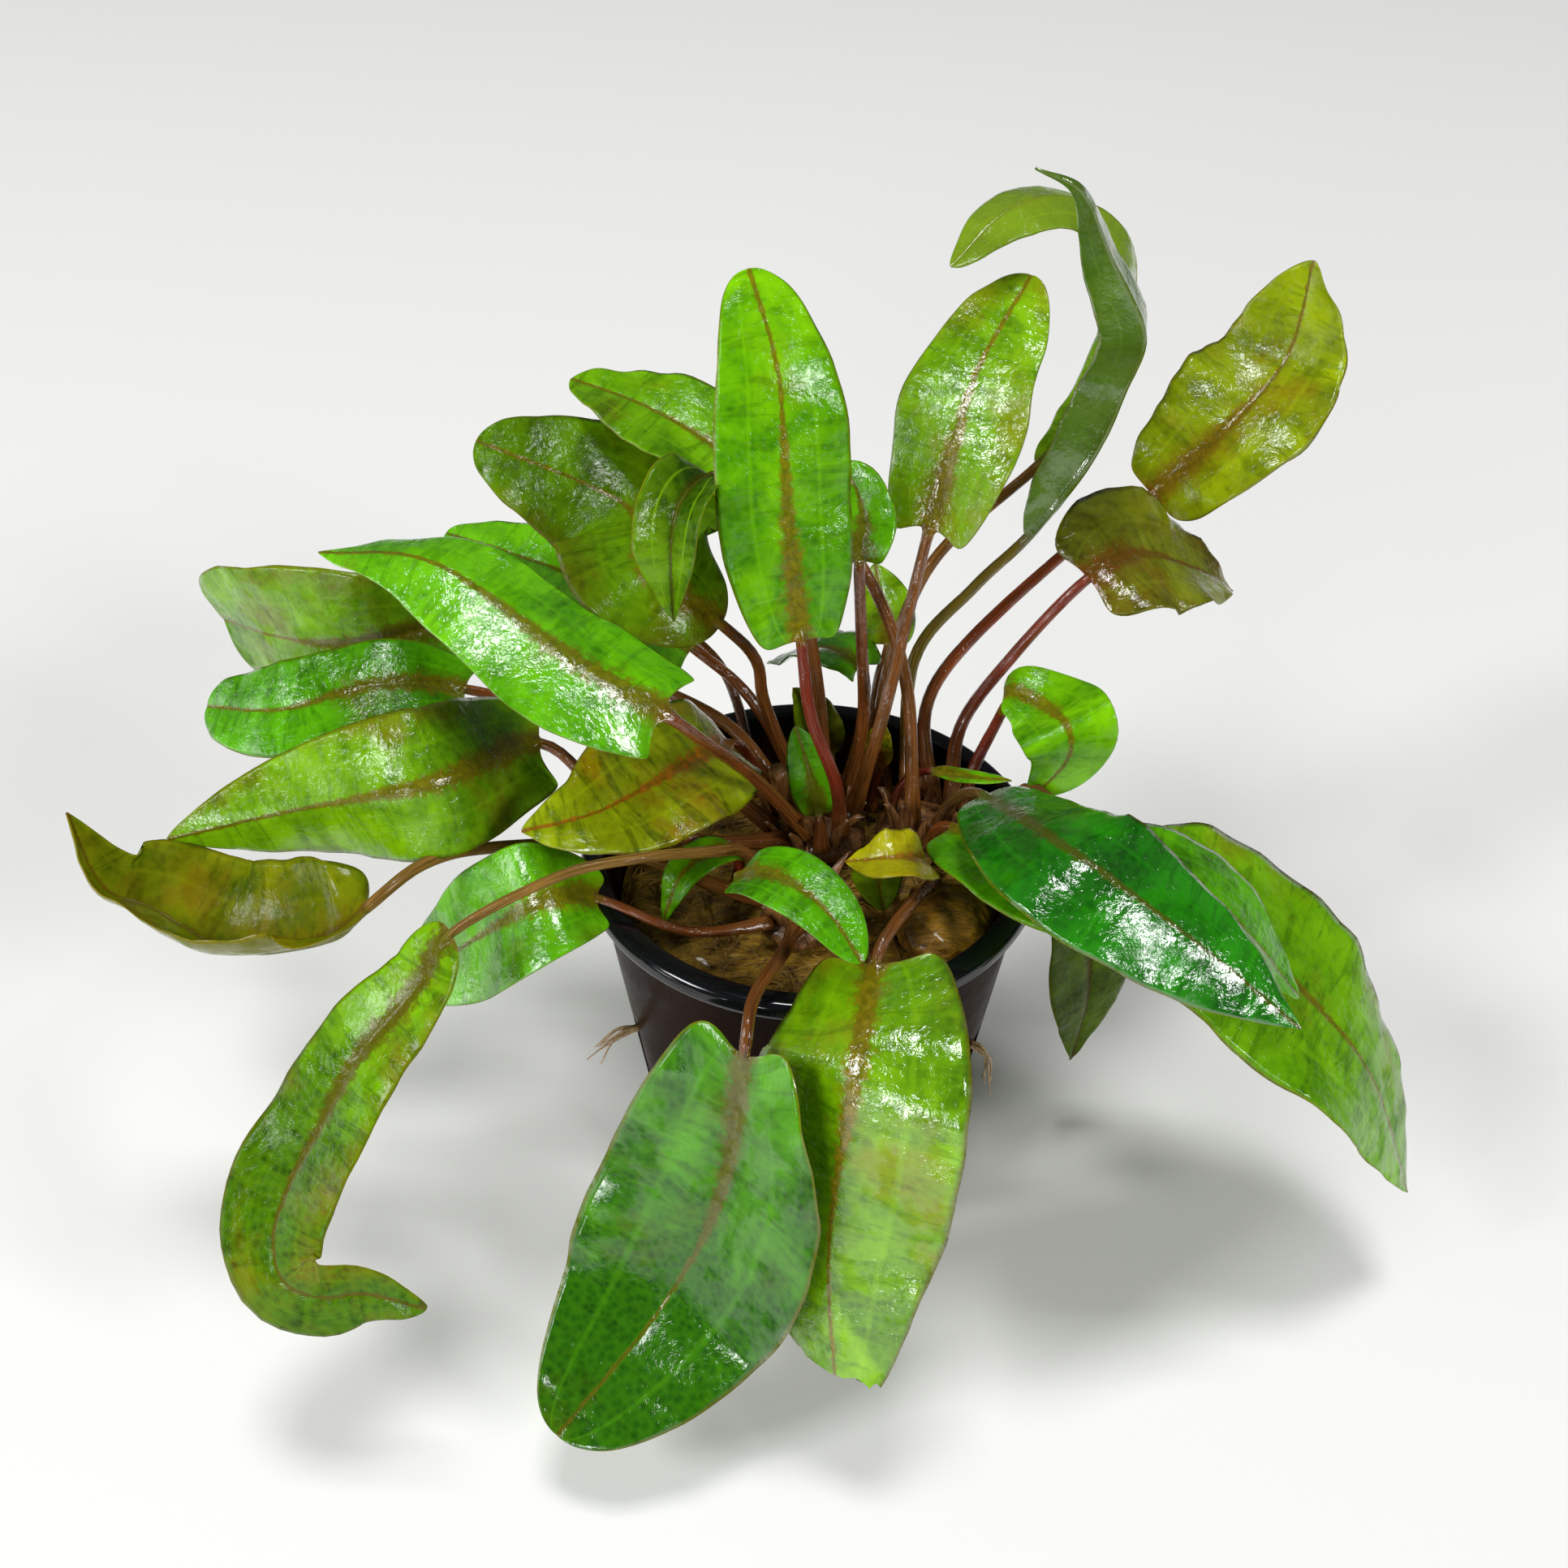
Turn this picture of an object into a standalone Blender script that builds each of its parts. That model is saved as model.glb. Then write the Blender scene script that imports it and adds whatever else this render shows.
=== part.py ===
"""A potted cryptocoryne: leaves on three rootstocks in a small net pot.

The pot stands on z = 0 with its middle on the Z axis. The viewer of the photograph is on the -Y side.
Numbers are millimetres and degrees; MM turns them into metres when the mesh is made.
"""

import math
from dataclasses import dataclass

import bmesh
import bpy
from mathutils import Matrix, Vector

MM = 0.001
GAP = 0.3

# The pot
POT_HEIGHT = 50.0
RIM_RADIUS = 26.0
LIP_HEIGHT = 2.4
BAND_RADIUS = 24.4
BASE_RADIUS = 18.5
WALL = 1.2
FLOOR = 1.6
SLOT_BOTTOM = 6.0
SLOT_TOP = 28.0
SLOTS = 16
SLOT_TURN = -5.25
POT_SIDES = SLOTS * 3

# The rock wool
WOOL_TOP = 43.6
WOOL_SIDES = 24
LUMP_CENTRE = Vector((14.6, -9.6, 46.4))
LUMP_RADII = Vector((4.6, 5.2, 2.3))

# The rootstocks: middle and radius seen from above
CROWNS = {
    "crown_left": ((0.0, 7.0), 6.2),
    "crown_right": ((13.2, 7.4), 5.7),
    "crown_front": ((-1.2, -8.2), 4.4),
}
CROWN_BOTTOM = WOOL_TOP + 0.6
CROWN_TOP = 46.4
ROOT_Z = CROWN_TOP + GAP

# The leaves
STALK_SIDES = 8
STALK_RADIUS = 0.98
SHEATH_RADIUS = 1.32
BLADE_THICKNESS = 0.9
BLADE_RINGS = (0.012, 0.05, 0.13, 0.25, 0.40, 0.55, 0.70, 0.83, 0.92, 0.975)
FOOT_LENGTH = 9.0
STALK_TAPER = 0.25
STALK_END = 0.97
FOLD_BEGINS = 0.12
WAVES = 2.4
WAVE_SHIFT = 1.2
EAR = 0.035
TORN_SHARE = 0.9
TORN_BEND = 6
YOUNG_RINGS = (0.05, 0.18, 0.34, 0.52, 0.71, 0.89)
SPLINE_STEPS = 12


@dataclass
class Leaf:
    """One leaf. The stalk's points run from the crown, the blade's from its base to its tip.

    heading: the compass direction in which the blade runs, 0 along +X and 90 along +Y
    roll: turn of the blade about its midrib at its base, plus lifts the side left of the heading
    twist: further turn from base to tip
    fold, cup: how far each half is raised, at the midrib and more towards the margin
    wave: height of the wavy margin
    peak: where the blade is widest, tip: from 0.3 blunt to 1 pointed
    shoulder: from 0.25 for a square base to 0.5 for a tapered one
    lobe: how far the two ears at the base reach back along the stalk
    cut: how much shorter one side of a torn-off tip is than the other
    """

    name: str
    colour: str
    width: float
    heading: float
    stalk: list
    blade: list
    roll: float = 0.0
    twist: float = 0.0
    fold: float = 6.0
    cup: float = 0.0
    wave: float = 0.6
    peak: float = 0.38
    tip: float = 0.75
    shoulder: float = 0.42
    lobe: float = 1.6
    cut: float = 0.0
    radius: float = STALK_RADIUS
    young: bool = False


COLOURS = {
    "deep": (0.030, 0.150, 0.010),
    "vivid": (0.070, 0.300, 0.012),
    "fresh": (0.150, 0.420, 0.015),
    "olive": (0.120, 0.170, 0.012),
    "dying": (0.260, 0.180, 0.010),
    "grey": (0.070, 0.130, 0.050),
}

LEAVES = [
    # Low leaves to the left
    Leaf(
        "leaf_01", "olive", 20.1, 184,
        stalk=[
            (-4.2, -7.4, ROOT_Z), (-11, -6.4, 48.6), (-22.3, -4.6, 51.9), (-34.9, -6.3, 53),
            (-40.6, -12.6, 56.2),
        ],
        blade=[
            (-45.7, -18.1, 54.8), (-50.8, -17.9, 49.8), (-61.8, -16.8, 46.7), (-71.1, -13.1, 49),
            (-76.4, -12, 51.2), (-80, -7.5, 57.6),
        ],
        roll=18, fold=30, cup=16, wave=0.3, tip=0.92, lobe=0.2, peak=0.38, shoulder=0.34, twist=2,
    ),
    Leaf(
        "leaf_02", "vivid", 16.8, 188,
        stalk=[(-3, 3.1, ROOT_Z), (-12.5, -2.5, 51.5), (-21.5, -2.4, 55.9)],
        blade=[(-30.5, 3.6, 59.9), (-39.3, -8.9, 64.2), (-55.9, -7.7, 58.7), (-69.5, -8.6, 55)],
        roll=-20, fold=-15, wave=0.8, tip=0.74, shoulder=0.44, lobe=1.5, peak=0.34, twist=-36,
    ),
    Leaf(
        "leaf_03", "vivid", 12.3, 180,
        stalk=[(-4.6, 5.4, ROOT_Z), (-9.5, 7.3, 50), (-15.5, 10.5, 53), (-29.2, 12.5, 57)],
        blade=[(-40.9, 14.5, 59), (-49.9, 11.8, 61.4), (-61.1, 9.2, 59.4), (-72.8, 15.8, 54.5)],
        roll=-16, wave=0.5, tip=0.34, shoulder=0.34, lobe=2.5, peak=0.41, twist=-7, fold=3,
    ),
    Leaf(
        "leaf_04", "olive", 21.4, 172,
        stalk=[(-3.3, 10.6, ROOT_Z), (-11, 15.5, 54.5), (-28.5, 21.9, 58.3)],
        blade=[(-44.5, 24.8, 60.6), (-54.1, 20.2, 61.3), (-64.1, 23.8, 59.1), (-75.7, 32.6, 55.7)],
        roll=-67, fold=6, wave=0.5, tip=0.22, peak=0.54, shoulder=0.42, twist=-19, lobe=1.6,
    ),
    Leaf(
        "leaf_05", "vivid", 16.7, 172,
        stalk=[(0, 3.9, ROOT_Z), (-6.5, -1.5, 60), (-10.9, -6.7, 68.4)],
        blade=[(-15.2, -8.4, 73.8), (-25.3, -4.1, 77.6), (-39.3, 3.7, 83), (-52.4, 7.6, 81.5)],
        roll=-17, fold=-13, wave=0.8, tip=0.78, shoulder=0.31, lobe=1.8, peak=0.3, twist=1,
    ),
    Leaf(
        "leaf_06", "vivid", 15, 150,
        stalk=[(-0.9, 11.8, ROOT_Z), (-7.5, 16.5, 57)],
        blade=[(-14.5, 19, 62.5), (-23.5, 23, 67), (-35.5, 27, 69.5), (-45, 31, 70)],
        roll=-5, tip=0.5,
    ),
    # Tall leaves in the middle and at the back
    Leaf(
        "leaf_07", "deep", 19.1, 143,
        stalk=[(-0.4, 9, ROOT_Z), (-5.5, 9.5, 61), (-6.6, 8.9, 68.1)],
        blade=[(-10.3, 7.8, 73.5), (-18, 9.2, 79.4), (-22, 21.8, 79.9), (-38.5, 25.1, 85.6)],
        roll=-14, wave=0.8, tip=0.48, peak=0.5, lobe=0.2, shoulder=0.47, twist=2, fold=2,
    ),
    Leaf(
        "leaf_08", "fresh", 14, 143,
        stalk=[(11.9, 6, ROOT_Z), (10.4, 14, 62), (5.2, 18.5, 74)],
        blade=[(-2.5, 22, 81.5), (-10, 25, 84.5), (-19.5, 30, 87.5), (-29, 35, 88.5)],
        roll=-4, tip=0.55,
    ),
    Leaf(
        "leaf_09", "fresh", 14.6, 100,
        stalk=[(3.4, 4.4, ROOT_Z), (2.5, -0.5, 58.5), (-0.4, 0.6, 66.9)],
        blade=[(-1.6, 3.3, 74.7), (-3.2, 6.6, 87.2), (-4.4, 11.8, 100.1), (-7.6, 18.4, 108.5)],
        fold=-6, wave=0.6, tip=0.4, peak=0.42, lobe=0.2, shoulder=0.39, roll=9, twist=-2,
    ),
    Leaf(
        "leaf_10", "olive", 9, 215,
        stalk=[(1.9, 8.4, ROOT_Z), (0.6, 12, 60), (-2, 14.5, 75), (-5.5, 13, 86)],
        blade=[(-11.2, 11.4, 89.3), (-13.9, 6.2, 89.3), (-14.8, 3.4, 85.9), (-14.7, 1.5, 78)],
        fold=25, cup=10, wave=0.4, tip=0.9, radius=0.9, young=True, lobe=0.3,
    ),
    Leaf(
        "leaf_11", "vivid", 7.5, 100,
        stalk=[(3.6, 10.3, ROOT_Z), (5.6, 11.5, 57.5), (5, 12.5, 69)],
        blade=[(4.4, 14, 78), (4.8, 15.5, 81.5), (4, 17.5, 84.5), (2, 20, 86.5)],
        roll=-25, fold=10, young=True, lobe=0.5, tip=0.5,
    ),
    Leaf(
        "leaf_12", "vivid", 16, 60,
        stalk=[(4.6, 7.4, ROOT_Z), (7.6, 8, 61), (10.1, 13.5, 71.7)],
        blade=[(12, 17.1, 80.4), (14.1, 19.8, 88.7), (16.5, 24.1, 96), (21.9, 30.8, 103.4)],
        wave=0.8, tip=0.45, peak=0.42, lobe=1.7, shoulder=0.43, roll=2, twist=-7, fold=1,
    ),
    Leaf(
        "leaf_13", "grey", 10.5, -45,
        stalk=[(11.2, 11.6, ROOT_Z), (11.4, 18, 62), (18.1, 22.9, 69.2)],
        blade=[
            (24.1, 25.9, 74.4), (29.8, 26.6, 83.3), (33.3, 28.9, 91.6), (33.6, 25.1, 99.6),
            (28.9, 24.6, 107.8), (24.4, 19.9, 115.9), (19.5, 19.2, 118.4),
        ],
        fold=47, wave=0.3, tip=1.1, peak=0.35, lobe=0.2, shoulder=0.58, roll=-5, twist=-2, cup=0,
    ),
    Leaf(
        "leaf_14", "olive", 18.5, 50,
        stalk=[(14, 12, ROOT_Z), (14.3, 19, 58.2), (29.9, 30.3, 70.3)],
        blade=[(40, 36.7, 74.3), (46.9, 38.3, 81.3), (55.2, 45.5, 87.9), (55.7, 45, 100.1)],
        wave=1.2, tip=0.64, peak=0.46, roll=14, lobe=0.8, shoulder=0.36, twist=-17, fold=9,
    ),
    Leaf(
        "leaf_15", "dying", 18.5, 35,
        stalk=[(16.6, 10.4, ROOT_Z), (17.4, 16, 54), (22.8, 17.3, 63.7)],
        blade=[(30.5, 19.5, 73), (37, 24.5, 73.2), (44.8, 27.4, 69.6), (50.2, 29.6, 65.4)],
        fold=8, wave=0.8, tip=0.88, roll=27, peak=0.36, shoulder=0.55, twist=-8, lobe=1.6,
    ),
    Leaf(
        "leaf_16", "fresh", 12.9, -20,
        stalk=[(17.8, 6.8, ROOT_Z), (18.6, 11.5, 51), (20.5, 13, 54.9)],
        blade=[
            (21.9, 12.8, 59.8), (21.7, 13, 62.2), (26.1, 10.7, 61.4), (28.1, 4.4, 63),
            (28.5, 5.3, 58), (25, 5.3, 52.3),
        ],
        wave=0.4, tip=0.58, lobe=0.2, peak=0.5, shoulder=0.44, roll=15, twist=1, fold=6,
    ),
    # Leaves to the right
    Leaf(
        "leaf_17", "deep", 16.1, -28,
        stalk=[(14.9, 6.6, ROOT_Z), (15.8, 2.5, 53.8)],
        blade=[(18.5, -2, 58.6), (25.4, -18.3, 65.5), (36.6, -23.5, 59.7), (48.9, -27.3, 50.7)],
        fold=-10, wave=0.5, tip=0.92, peak=0.45, shoulder=0.48, lobe=1.0, roll=-12, twist=13,
    ),
    Leaf(
        "leaf_18", "vivid", 26, -25,
        stalk=[(16.6, 4.1, ROOT_Z), (23.2, -0.2, 52.3)],
        blade=[
            (34.6, -5.5, 50.2), (40.3, -8.2, 49.7), (49.9, -11.3, 44.5), (62.1, -17.2, 33.3),
            (70.3, -20.7, 15.8),
        ],
        fold=-1, wave=0.8, tip=0.82, roll=9, peak=0.31, shoulder=0.44, twist=-5, lobe=1.0,
    ),
    Leaf(
        "leaf_19", "olive", 13, -60,
        stalk=[(20.2, 4.4, 44.6), (21.4, 4.6, 50.5), (25, 4.6, 54.3), (29.5, 3.4, 49.5)],
        blade=[(31.5, 2, 43), (33.5, 1, 34), (34.8, 1.5, 22), (34.2, 2, 11)],
        tip=0.95, wave=0.2, lobe=0.6,
    ),
    Leaf(
        "leaf_20", "fresh", 19.1, -35,
        stalk=[(13.8, 3.2, ROOT_Z)],
        blade=[(15.7, -0.8, 52.9), (26.9, -11.7, 55.8), (40.3, -14.3, 56.7), (51.5, -19, 46.4)],
        wave=0.6, tip=0.61, lobe=0.6, peak=0.42, shoulder=0.43, roll=-6, twist=4, fold=5,
    ),
    Leaf(
        "leaf_21", "fresh", 2.4, 0,
        stalk=[(8.9, 8.2, ROOT_Z), (11, 10.8, 50)],
        blade=[(14, 10.2, 52), (17.5, 8, 53), (22.5, 5, 55)],
        wave=0, tip=0.8, lobe=0, radius=0.55, young=True,
    ),
    # Leaves in front
    Leaf(
        "leaf_22", "vivid", 5.4, 100,
        stalk=[(1.2, 1.6, ROOT_Z)],
        blade=[(0.8, 2.9, 51), (-0.3, 3.9, 56), (-2.1, 5.1, 62)],
        wave=0, tip=0.6, lobe=0.1, radius=0.8, young=True,
    ),
    Leaf(
        "leaf_23", "dying", 16, 215,
        stalk=[(-4.75, 8.2, ROOT_Z), (-7.2, 10, 52.5)],
        blade=[(-9.5, 8.0, 57), (-13.5, 0.8, 60), (-22, -9.5, 61.5), (-30, -12, 60.5)],
        wave=1.0, roll=-12,
    ),
    Leaf(
        "leaf_24", "vivid", 15.8, 185,
        stalk=[(-3.6, -10.2, ROOT_Z), (-12.8, -14.4, 48.9)],
        blade=[(-22.6, -13, 52.3), (-27.9, -16.3, 54.7), (-35.8, -15.4, 47.8), (-43.7, -13.9, 40.2)],
        roll=-9, wave=0.4, tip=0.46, peak=0.45, shoulder=0.48, twist=1, fold=7, lobe=2.3,
    ),
    Leaf(
        "leaf_25", "vivid", 13, 215,
        stalk=[(-4.6, -1.2, 44.6), (-7.2, -6, 53), (-10.5, -11, 57.5), (-17, -16, 61), (-25, -19, 61)],
        blade=[
            (-35.8, -22.7, 56.2), (-38.9, -26.2, 52.1), (-44.5, -30.8, 46.8), (-48.9, -36.1, 40.5),
            (-51.6, -39.8, 36.1), (-52.7, -42.9, 32.4), (-51.6, -45.4, 29.4), (-48.1, -46.3, 28.2),
            (-43.4, -46, 28.5), (-37.2, -46.7, 27.4),
        ],
        roll=-10, twist=-15, wave=0.5, tip=0.4, peak=0.5, lobe=0.6, shoulder=0.35,
    ),
    Leaf(
        "leaf_26", "deep", 26.3, 245,
        stalk=[(-1.4, -11.3, ROOT_Z), (-2.8, -20.5, 52), (-5.3, -27.2, 52.8)],
        blade=[(-6, -32.5, 50.6), (-8.2, -36, 33.2), (-14.6, -40.2, 18.6), (-25, -50.9, 10.9)],
        wave=0.7, tip=0.46, peak=0.45, fold=13, lobe=3.9, shoulder=0.55, roll=9, twist=-16,
    ),
    Leaf(
        "leaf_27", "olive", 23.9, 272,
        stalk=[(14.6, -0.6, 44.6), (13.8, -6, 49.5), (11, -13, 53), (8.3, -19.4, 55.1)],
        blade=[(6.7, -23.3, 54.2), (4.7, -35.6, 51.6), (2.8, -41.5, 32.6), (3.8, -48, 18.4)],
        wave=0.6, tip=0.66, peak=0.41, lobe=2.1, shoulder=0.35, cut=1.9, roll=20, twist=0, fold=-11,
    ),
    Leaf(
        "leaf_28", "vivid", 9, -35,
        stalk=[(-1, -8.4, ROOT_Z), (-3.6, -11, 52)],
        blade=[(-7.5, -13.5, 56.5), (-3.5, -16.5, 59.5), (1.5, -20.5, 59), (5.3, -25.5, 56.5)],
        wave=0.2, tip=0.5, lobe=0.2, young=True,
    ),
    Leaf(
        "leaf_29", "dying", 7, 200,
        stalk=[(9.6, -1.8, 44.6), (10.4, -4.6, 50)],
        blade=[(12.4, -8.2, 54.3), (8.6, -10.6, 57), (3.7, -9.3, 55)],
        wave=0.4, tip=0.8, lobe=0.4, fold=15, young=True, radius=0.9,
    ),
    Leaf(
        "leaf_30", "fresh", 5, 215,
        stalk=[(-8.4, -3.4, 44.6)],
        blade=[(-8.2, -3.2, 50), (-10.8, -5.3, 52.3), (-14, -8.4, 51.6), (-16, -11.5, 47)],
        wave=0.1, tip=0.9, lobe=0.2, young=True, radius=0.8,
    ),
    Leaf(
        "leaf_31", "fresh", 10.8, 45,
        stalk=[(8.9, 14.2, 44.6), (8, 17, 57.5), (12.9, 23.8, 71.5)],
        blade=[
            (25.3, 32.1, 80.4), (31.7, 36.7, 86.5), (34.6, 38.4, 94.9), (33.1, 37.9, 104.7),
            (26.9, 37.8, 109.1), (19.2, 32.8, 109.7), (12.9, 26.8, 105.7),
        ],
        roll=-13, twist=-41, fold=19, wave=0.4, tip=0.65, peak=0.5, lobe=0.2, shoulder=0.42,
    ),
    # Half hidden leaves at the back
    Leaf(
        "leaf_32", "deep", 11, 160,
        stalk=[(4.2, 14.8, 44.6), (5.8, 16.5, 56)],
        blade=[(5.2, 18, 61), (0.4, 21, 61.5), (-5.5, 24, 57)],
        wave=0.4, tip=0.6, young=True,
    ),
    Leaf(
        "leaf_33", "fresh", 7, 95,
        stalk=[(6.8, 16.2, 44.6), (7.4, 20.5, 56.5)],
        blade=[(8.6, 22.8, 61), (7.9, 24.3, 65.5), (6.6, 26.5, 70)],
        wave=0.2, tip=0.7, lobe=0.3, young=True, radius=0.8,
    ),
    Leaf(
        "leaf_34", "olive", 6, 130,
        stalk=[(1.5, 12, ROOT_Z)],
        blade=[(2, 13.8, 51), (0.2, 13.8, 56), (-2.6, 13.6, 61)],
        wave=0.3, tip=0.7, lobe=0.2, young=True, radius=0.8,
    ),
    Leaf(
        "leaf_35", "vivid", 4, 140,
        stalk=[(-6.4, 13.6, 44.6), (-10.5, 20.5, 57), (-16.5, 24, 62)],
        blade=[(-21, 26, 64), (-25.5, 29, 66), (-30, 31, 67)],
        wave=0.1, tip=0.7, lobe=0, young=True, radius=0.7,
    ),
    Leaf(
        "leaf_36", "deep", 6, 280,
        stalk=[(6.6, -2.2, 44.6)],
        blade=[(7.4, -4.4, 49.6), (7.4, -8.5, 51.4), (8, -11, 49.5)],
        wave=0.1, tip=0.7, lobe=0.2, young=True, radius=0.8,
    ),
    Leaf(
        "leaf_37", "dying", 4, 80,
        stalk=[(7, 11.4, 44.6)],
        blade=[(7.6, 12.8, 50.5), (7.4, 12.2, 54), (7.8, 11.4, 58)],
        wave=0.2, tip=0.7, lobe=0, young=True, radius=0.7,
    ),
]

OLD_STALK = [(-1.9, 6.5, ROOT_Z + 0.5), (-3.1, 4.6, 52), (-4, 2.8, 57.5)]
ROOTS = {
    "root_right": [(19.0, -8.5, 26), (21.2, -9.4, 25), (21.6, -9.6, 20)],
    "root_left": [(-19.4, -7.45, 26), (-22, -8.5, 25.5), (-25, -10, 23)],
}


def clear_scene():
    """Removes whatever the file holds."""
    for item in list(bpy.data.objects):
        bpy.data.objects.remove(item, do_unlink=True)


def make_material(name, colour, roughness):
    """A plain Principled material."""
    material = bpy.data.materials.new(name)
    material.use_nodes = True
    shader = material.node_tree.nodes["Principled BSDF"]
    shader.inputs["Base Color"].default_value = (*colour, 1.0)
    shader.inputs["Roughness"].default_value = roughness
    shader.inputs["Metallic"].default_value = 0.0
    return material


def make_object(name, vertices, faces, material):
    """An object from points in millimetres, with all faces turned outwards."""
    mesh = bpy.data.meshes.new(name)
    mesh.from_pydata([Vector(v) * MM for v in vertices], [], faces)
    work = bmesh.new()
    work.from_mesh(mesh)
    bmesh.ops.recalc_face_normals(work, faces=work.faces)
    work.to_mesh(mesh)
    work.free()
    mesh.materials.append(material)
    piece = bpy.data.objects.new(name, mesh)
    bpy.context.scene.collection.objects.link(piece)
    return piece


def loft(rings, start=None, end=None):
    """A closed body through rings of points, each ring with as many points as the next.

    start and end are points that close the ends to a tip; without one the end is a flat face. The two
    halves of the rings get mirrored diagonals, so that a thin, twisted blade doesn't cross itself.
    """
    sides = len(rings[0])
    vertices = [point for ring in rings for point in ring]
    faces = []
    for row in range(len(rings) - 1):
        low = row * sides
        for side in range(sides):
            near = low + side
            far = low + (side + 1) % sides
            if side < sides // 2:
                faces.append((near, far, far + sides))
                faces.append((near, far + sides, near + sides))
            else:
                faces.append((near, far, near + sides))
                faces.append((far, far + sides, near + sides))
    for tip, low in ((start, 0), (end, (len(rings) - 1) * sides)):
        if tip is None:
            faces.append(tuple(range(low, low + sides)))
            continue
        vertices.append(tip)
        for side in range(sides):
            faces.append((low + side, low + (side + 1) % sides, len(vertices) - 1))
    return vertices, faces


def smooth_line(control, steps=SPLINE_STEPS):
    """Points on a smooth curve through the control points."""
    control = [Vector(point) for point in control]
    first = control[0] * 2 - control[1]
    last = control[-1] * 2 - control[-2]
    padded = [first, *control, last]
    line = []
    for a, b, c, d in zip(padded, padded[1:], padded[2:], padded[3:]):
        for step in range(steps):
            t = step / steps
            square = a * 2 - b * 5 + c * 4 - d
            cube = b * 3 - a - c * 3 + d
            line.append(0.5 * (b * 2 + (c - a) * t + square * t**2 + cube * t**3))
    line.append(control[-1])
    return line


class Spine:
    """A leaf's middle line from the crown to the tip, with a sideways direction carried along it."""

    def __init__(self, leaf):
        self.points = smooth_line(leaf.stalk + leaf.blade)
        self.base = len(leaf.stalk) * SPLINE_STEPS
        self.tangents = self.find_tangents()
        self.sides = self.carry_sides(math.radians(leaf.heading))
        self.lengths = [0.0]
        for a, b in zip(self.points, self.points[1:]):
            self.lengths.append(self.lengths[-1] + (b - a).length)

    def find_tangents(self):
        """The direction of the line at each of its points."""
        last = len(self.points) - 1
        tangents = []
        for i in range(last + 1):
            ahead = self.points[min(i + 1, last)]
            behind = self.points[max(i - 1, 0)]
            tangents.append((ahead - behind).normalized())
        return tangents

    def carry_sides(self, heading):
        """The blade's sideways direction: level at its base, turned as little as can be from there."""
        level = Vector((-math.sin(heading), math.cos(heading), 0.0))
        sides = [None] * len(self.points)
        tangent = self.tangents[self.base]
        sides[self.base] = (level - tangent * level.dot(tangent)).normalized()
        onward = range(self.base + 1, len(self.points))
        back = range(self.base - 1, -1, -1)
        for order, step in ((onward, 1), (back, -1)):
            for i in order:
                side = sides[i - step]
                sides[i] = (side - self.tangents[i] * side.dot(self.tangents[i])).normalized()
        return sides

    def at(self, length, turn):
        """Place, direction, side and upward normal at a length from the crown, turned about the line."""
        i = 0
        while i < len(self.lengths) - 2 and self.lengths[i + 1] < length:
            i += 1
        part = (length - self.lengths[i]) / (self.lengths[i + 1] - self.lengths[i])
        part = min(max(part, 0.0), 1.0)
        place = self.points[i].lerp(self.points[i + 1], part)
        tangent = self.tangents[i].lerp(self.tangents[i + 1], part).normalized()
        side = self.sides[i].lerp(self.sides[i + 1], part)
        side = (side - tangent * side.dot(tangent)).normalized()
        side = Matrix.Rotation(math.radians(turn), 3, tangent) @ side
        return place, tangent, side, tangent.cross(side)


def half_width(leaf, u):
    """Half the blade's width at u, which runs from 0 at its base to 1 at its tip."""
    if leaf.cut:
        u = u * TORN_SHARE
    bend = math.log(0.5) / math.log(leaf.peak)
    blunt = leaf.shoulder + (leaf.tip - leaf.shoulder) * u
    return leaf.width / 2 * math.sin(math.pi * u**bend) ** blunt


def blade_ring(leaf, spine, u):
    """The blade's section at u: five points over the top, margin to margin, and three beneath."""
    stalk_length = spine.lengths[spine.base]
    length = stalk_length + u * (spine.lengths[-1] - stalk_length)
    place, tangent, side, normal = spine.at(length, leaf.roll + leaf.twist * u)
    half = half_width(leaf, u)
    thickness = BLADE_THICKNESS * min(1.0, half / 2)
    back = leaf.lobe * u / EAR * math.exp(1 - u / EAR)

    def surface(v):
        angle = math.radians(leaf.fold + leaf.cup * abs(v)) * min(1.0, u / FOLD_BEGINS)
        sway = math.copysign(WAVE_SHIFT, v)
        lift = leaf.wave * v * v * math.sin(math.tau * WAVES * u + sway) * math.sin(math.pi * u)
        middle = place + side * (v * half * math.cos(angle))
        middle += normal * (abs(v) * half * math.sin(angle) + lift)
        sign = (v > 0) - (v < 0)
        outward = normal * math.cos(angle) - side * (math.sin(angle) * sign)
        short = leaf.cut * (1 - v) / 2 * u**TORN_BEND
        return middle - tangent * (back * abs(v) + short), outward

    ring = []
    for v in (-1.0, -0.5, 0.0, 0.5, 1.0):
        middle, outward = surface(v)
        ring.append(middle + outward * (thickness / 2 * (1 - abs(v))))
    for v in (0.5, 0.0, -0.5):
        middle, outward = surface(v)
        ring.append(middle - outward * (thickness / 2 * (1 - abs(v))))
    return ring


def stalk_ring(leaf, spine, length):
    """The stalk's round cross-section, thicker at the foot, its points in the order of the blade's."""
    place, _, side, normal = spine.at(length, leaf.roll)
    end = spine.lengths[spine.base]
    foot = max(0.0, 1 - length / min(FOOT_LENGTH, end))
    thick = SHEATH_RADIUS / STALK_RADIUS - 1
    radius = leaf.radius * (1 + thick * foot) * (1 - STALK_TAPER * length / end)
    ring = []
    for step in range(STALK_SIDES):
        angle = math.pi - step * math.tau / STALK_SIDES
        point = place + side * (radius * math.cos(angle)) + normal * (radius * math.sin(angle))
        point.z = max(point.z, spine.points[0].z)
        ring.append(point)
    return ring


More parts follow.
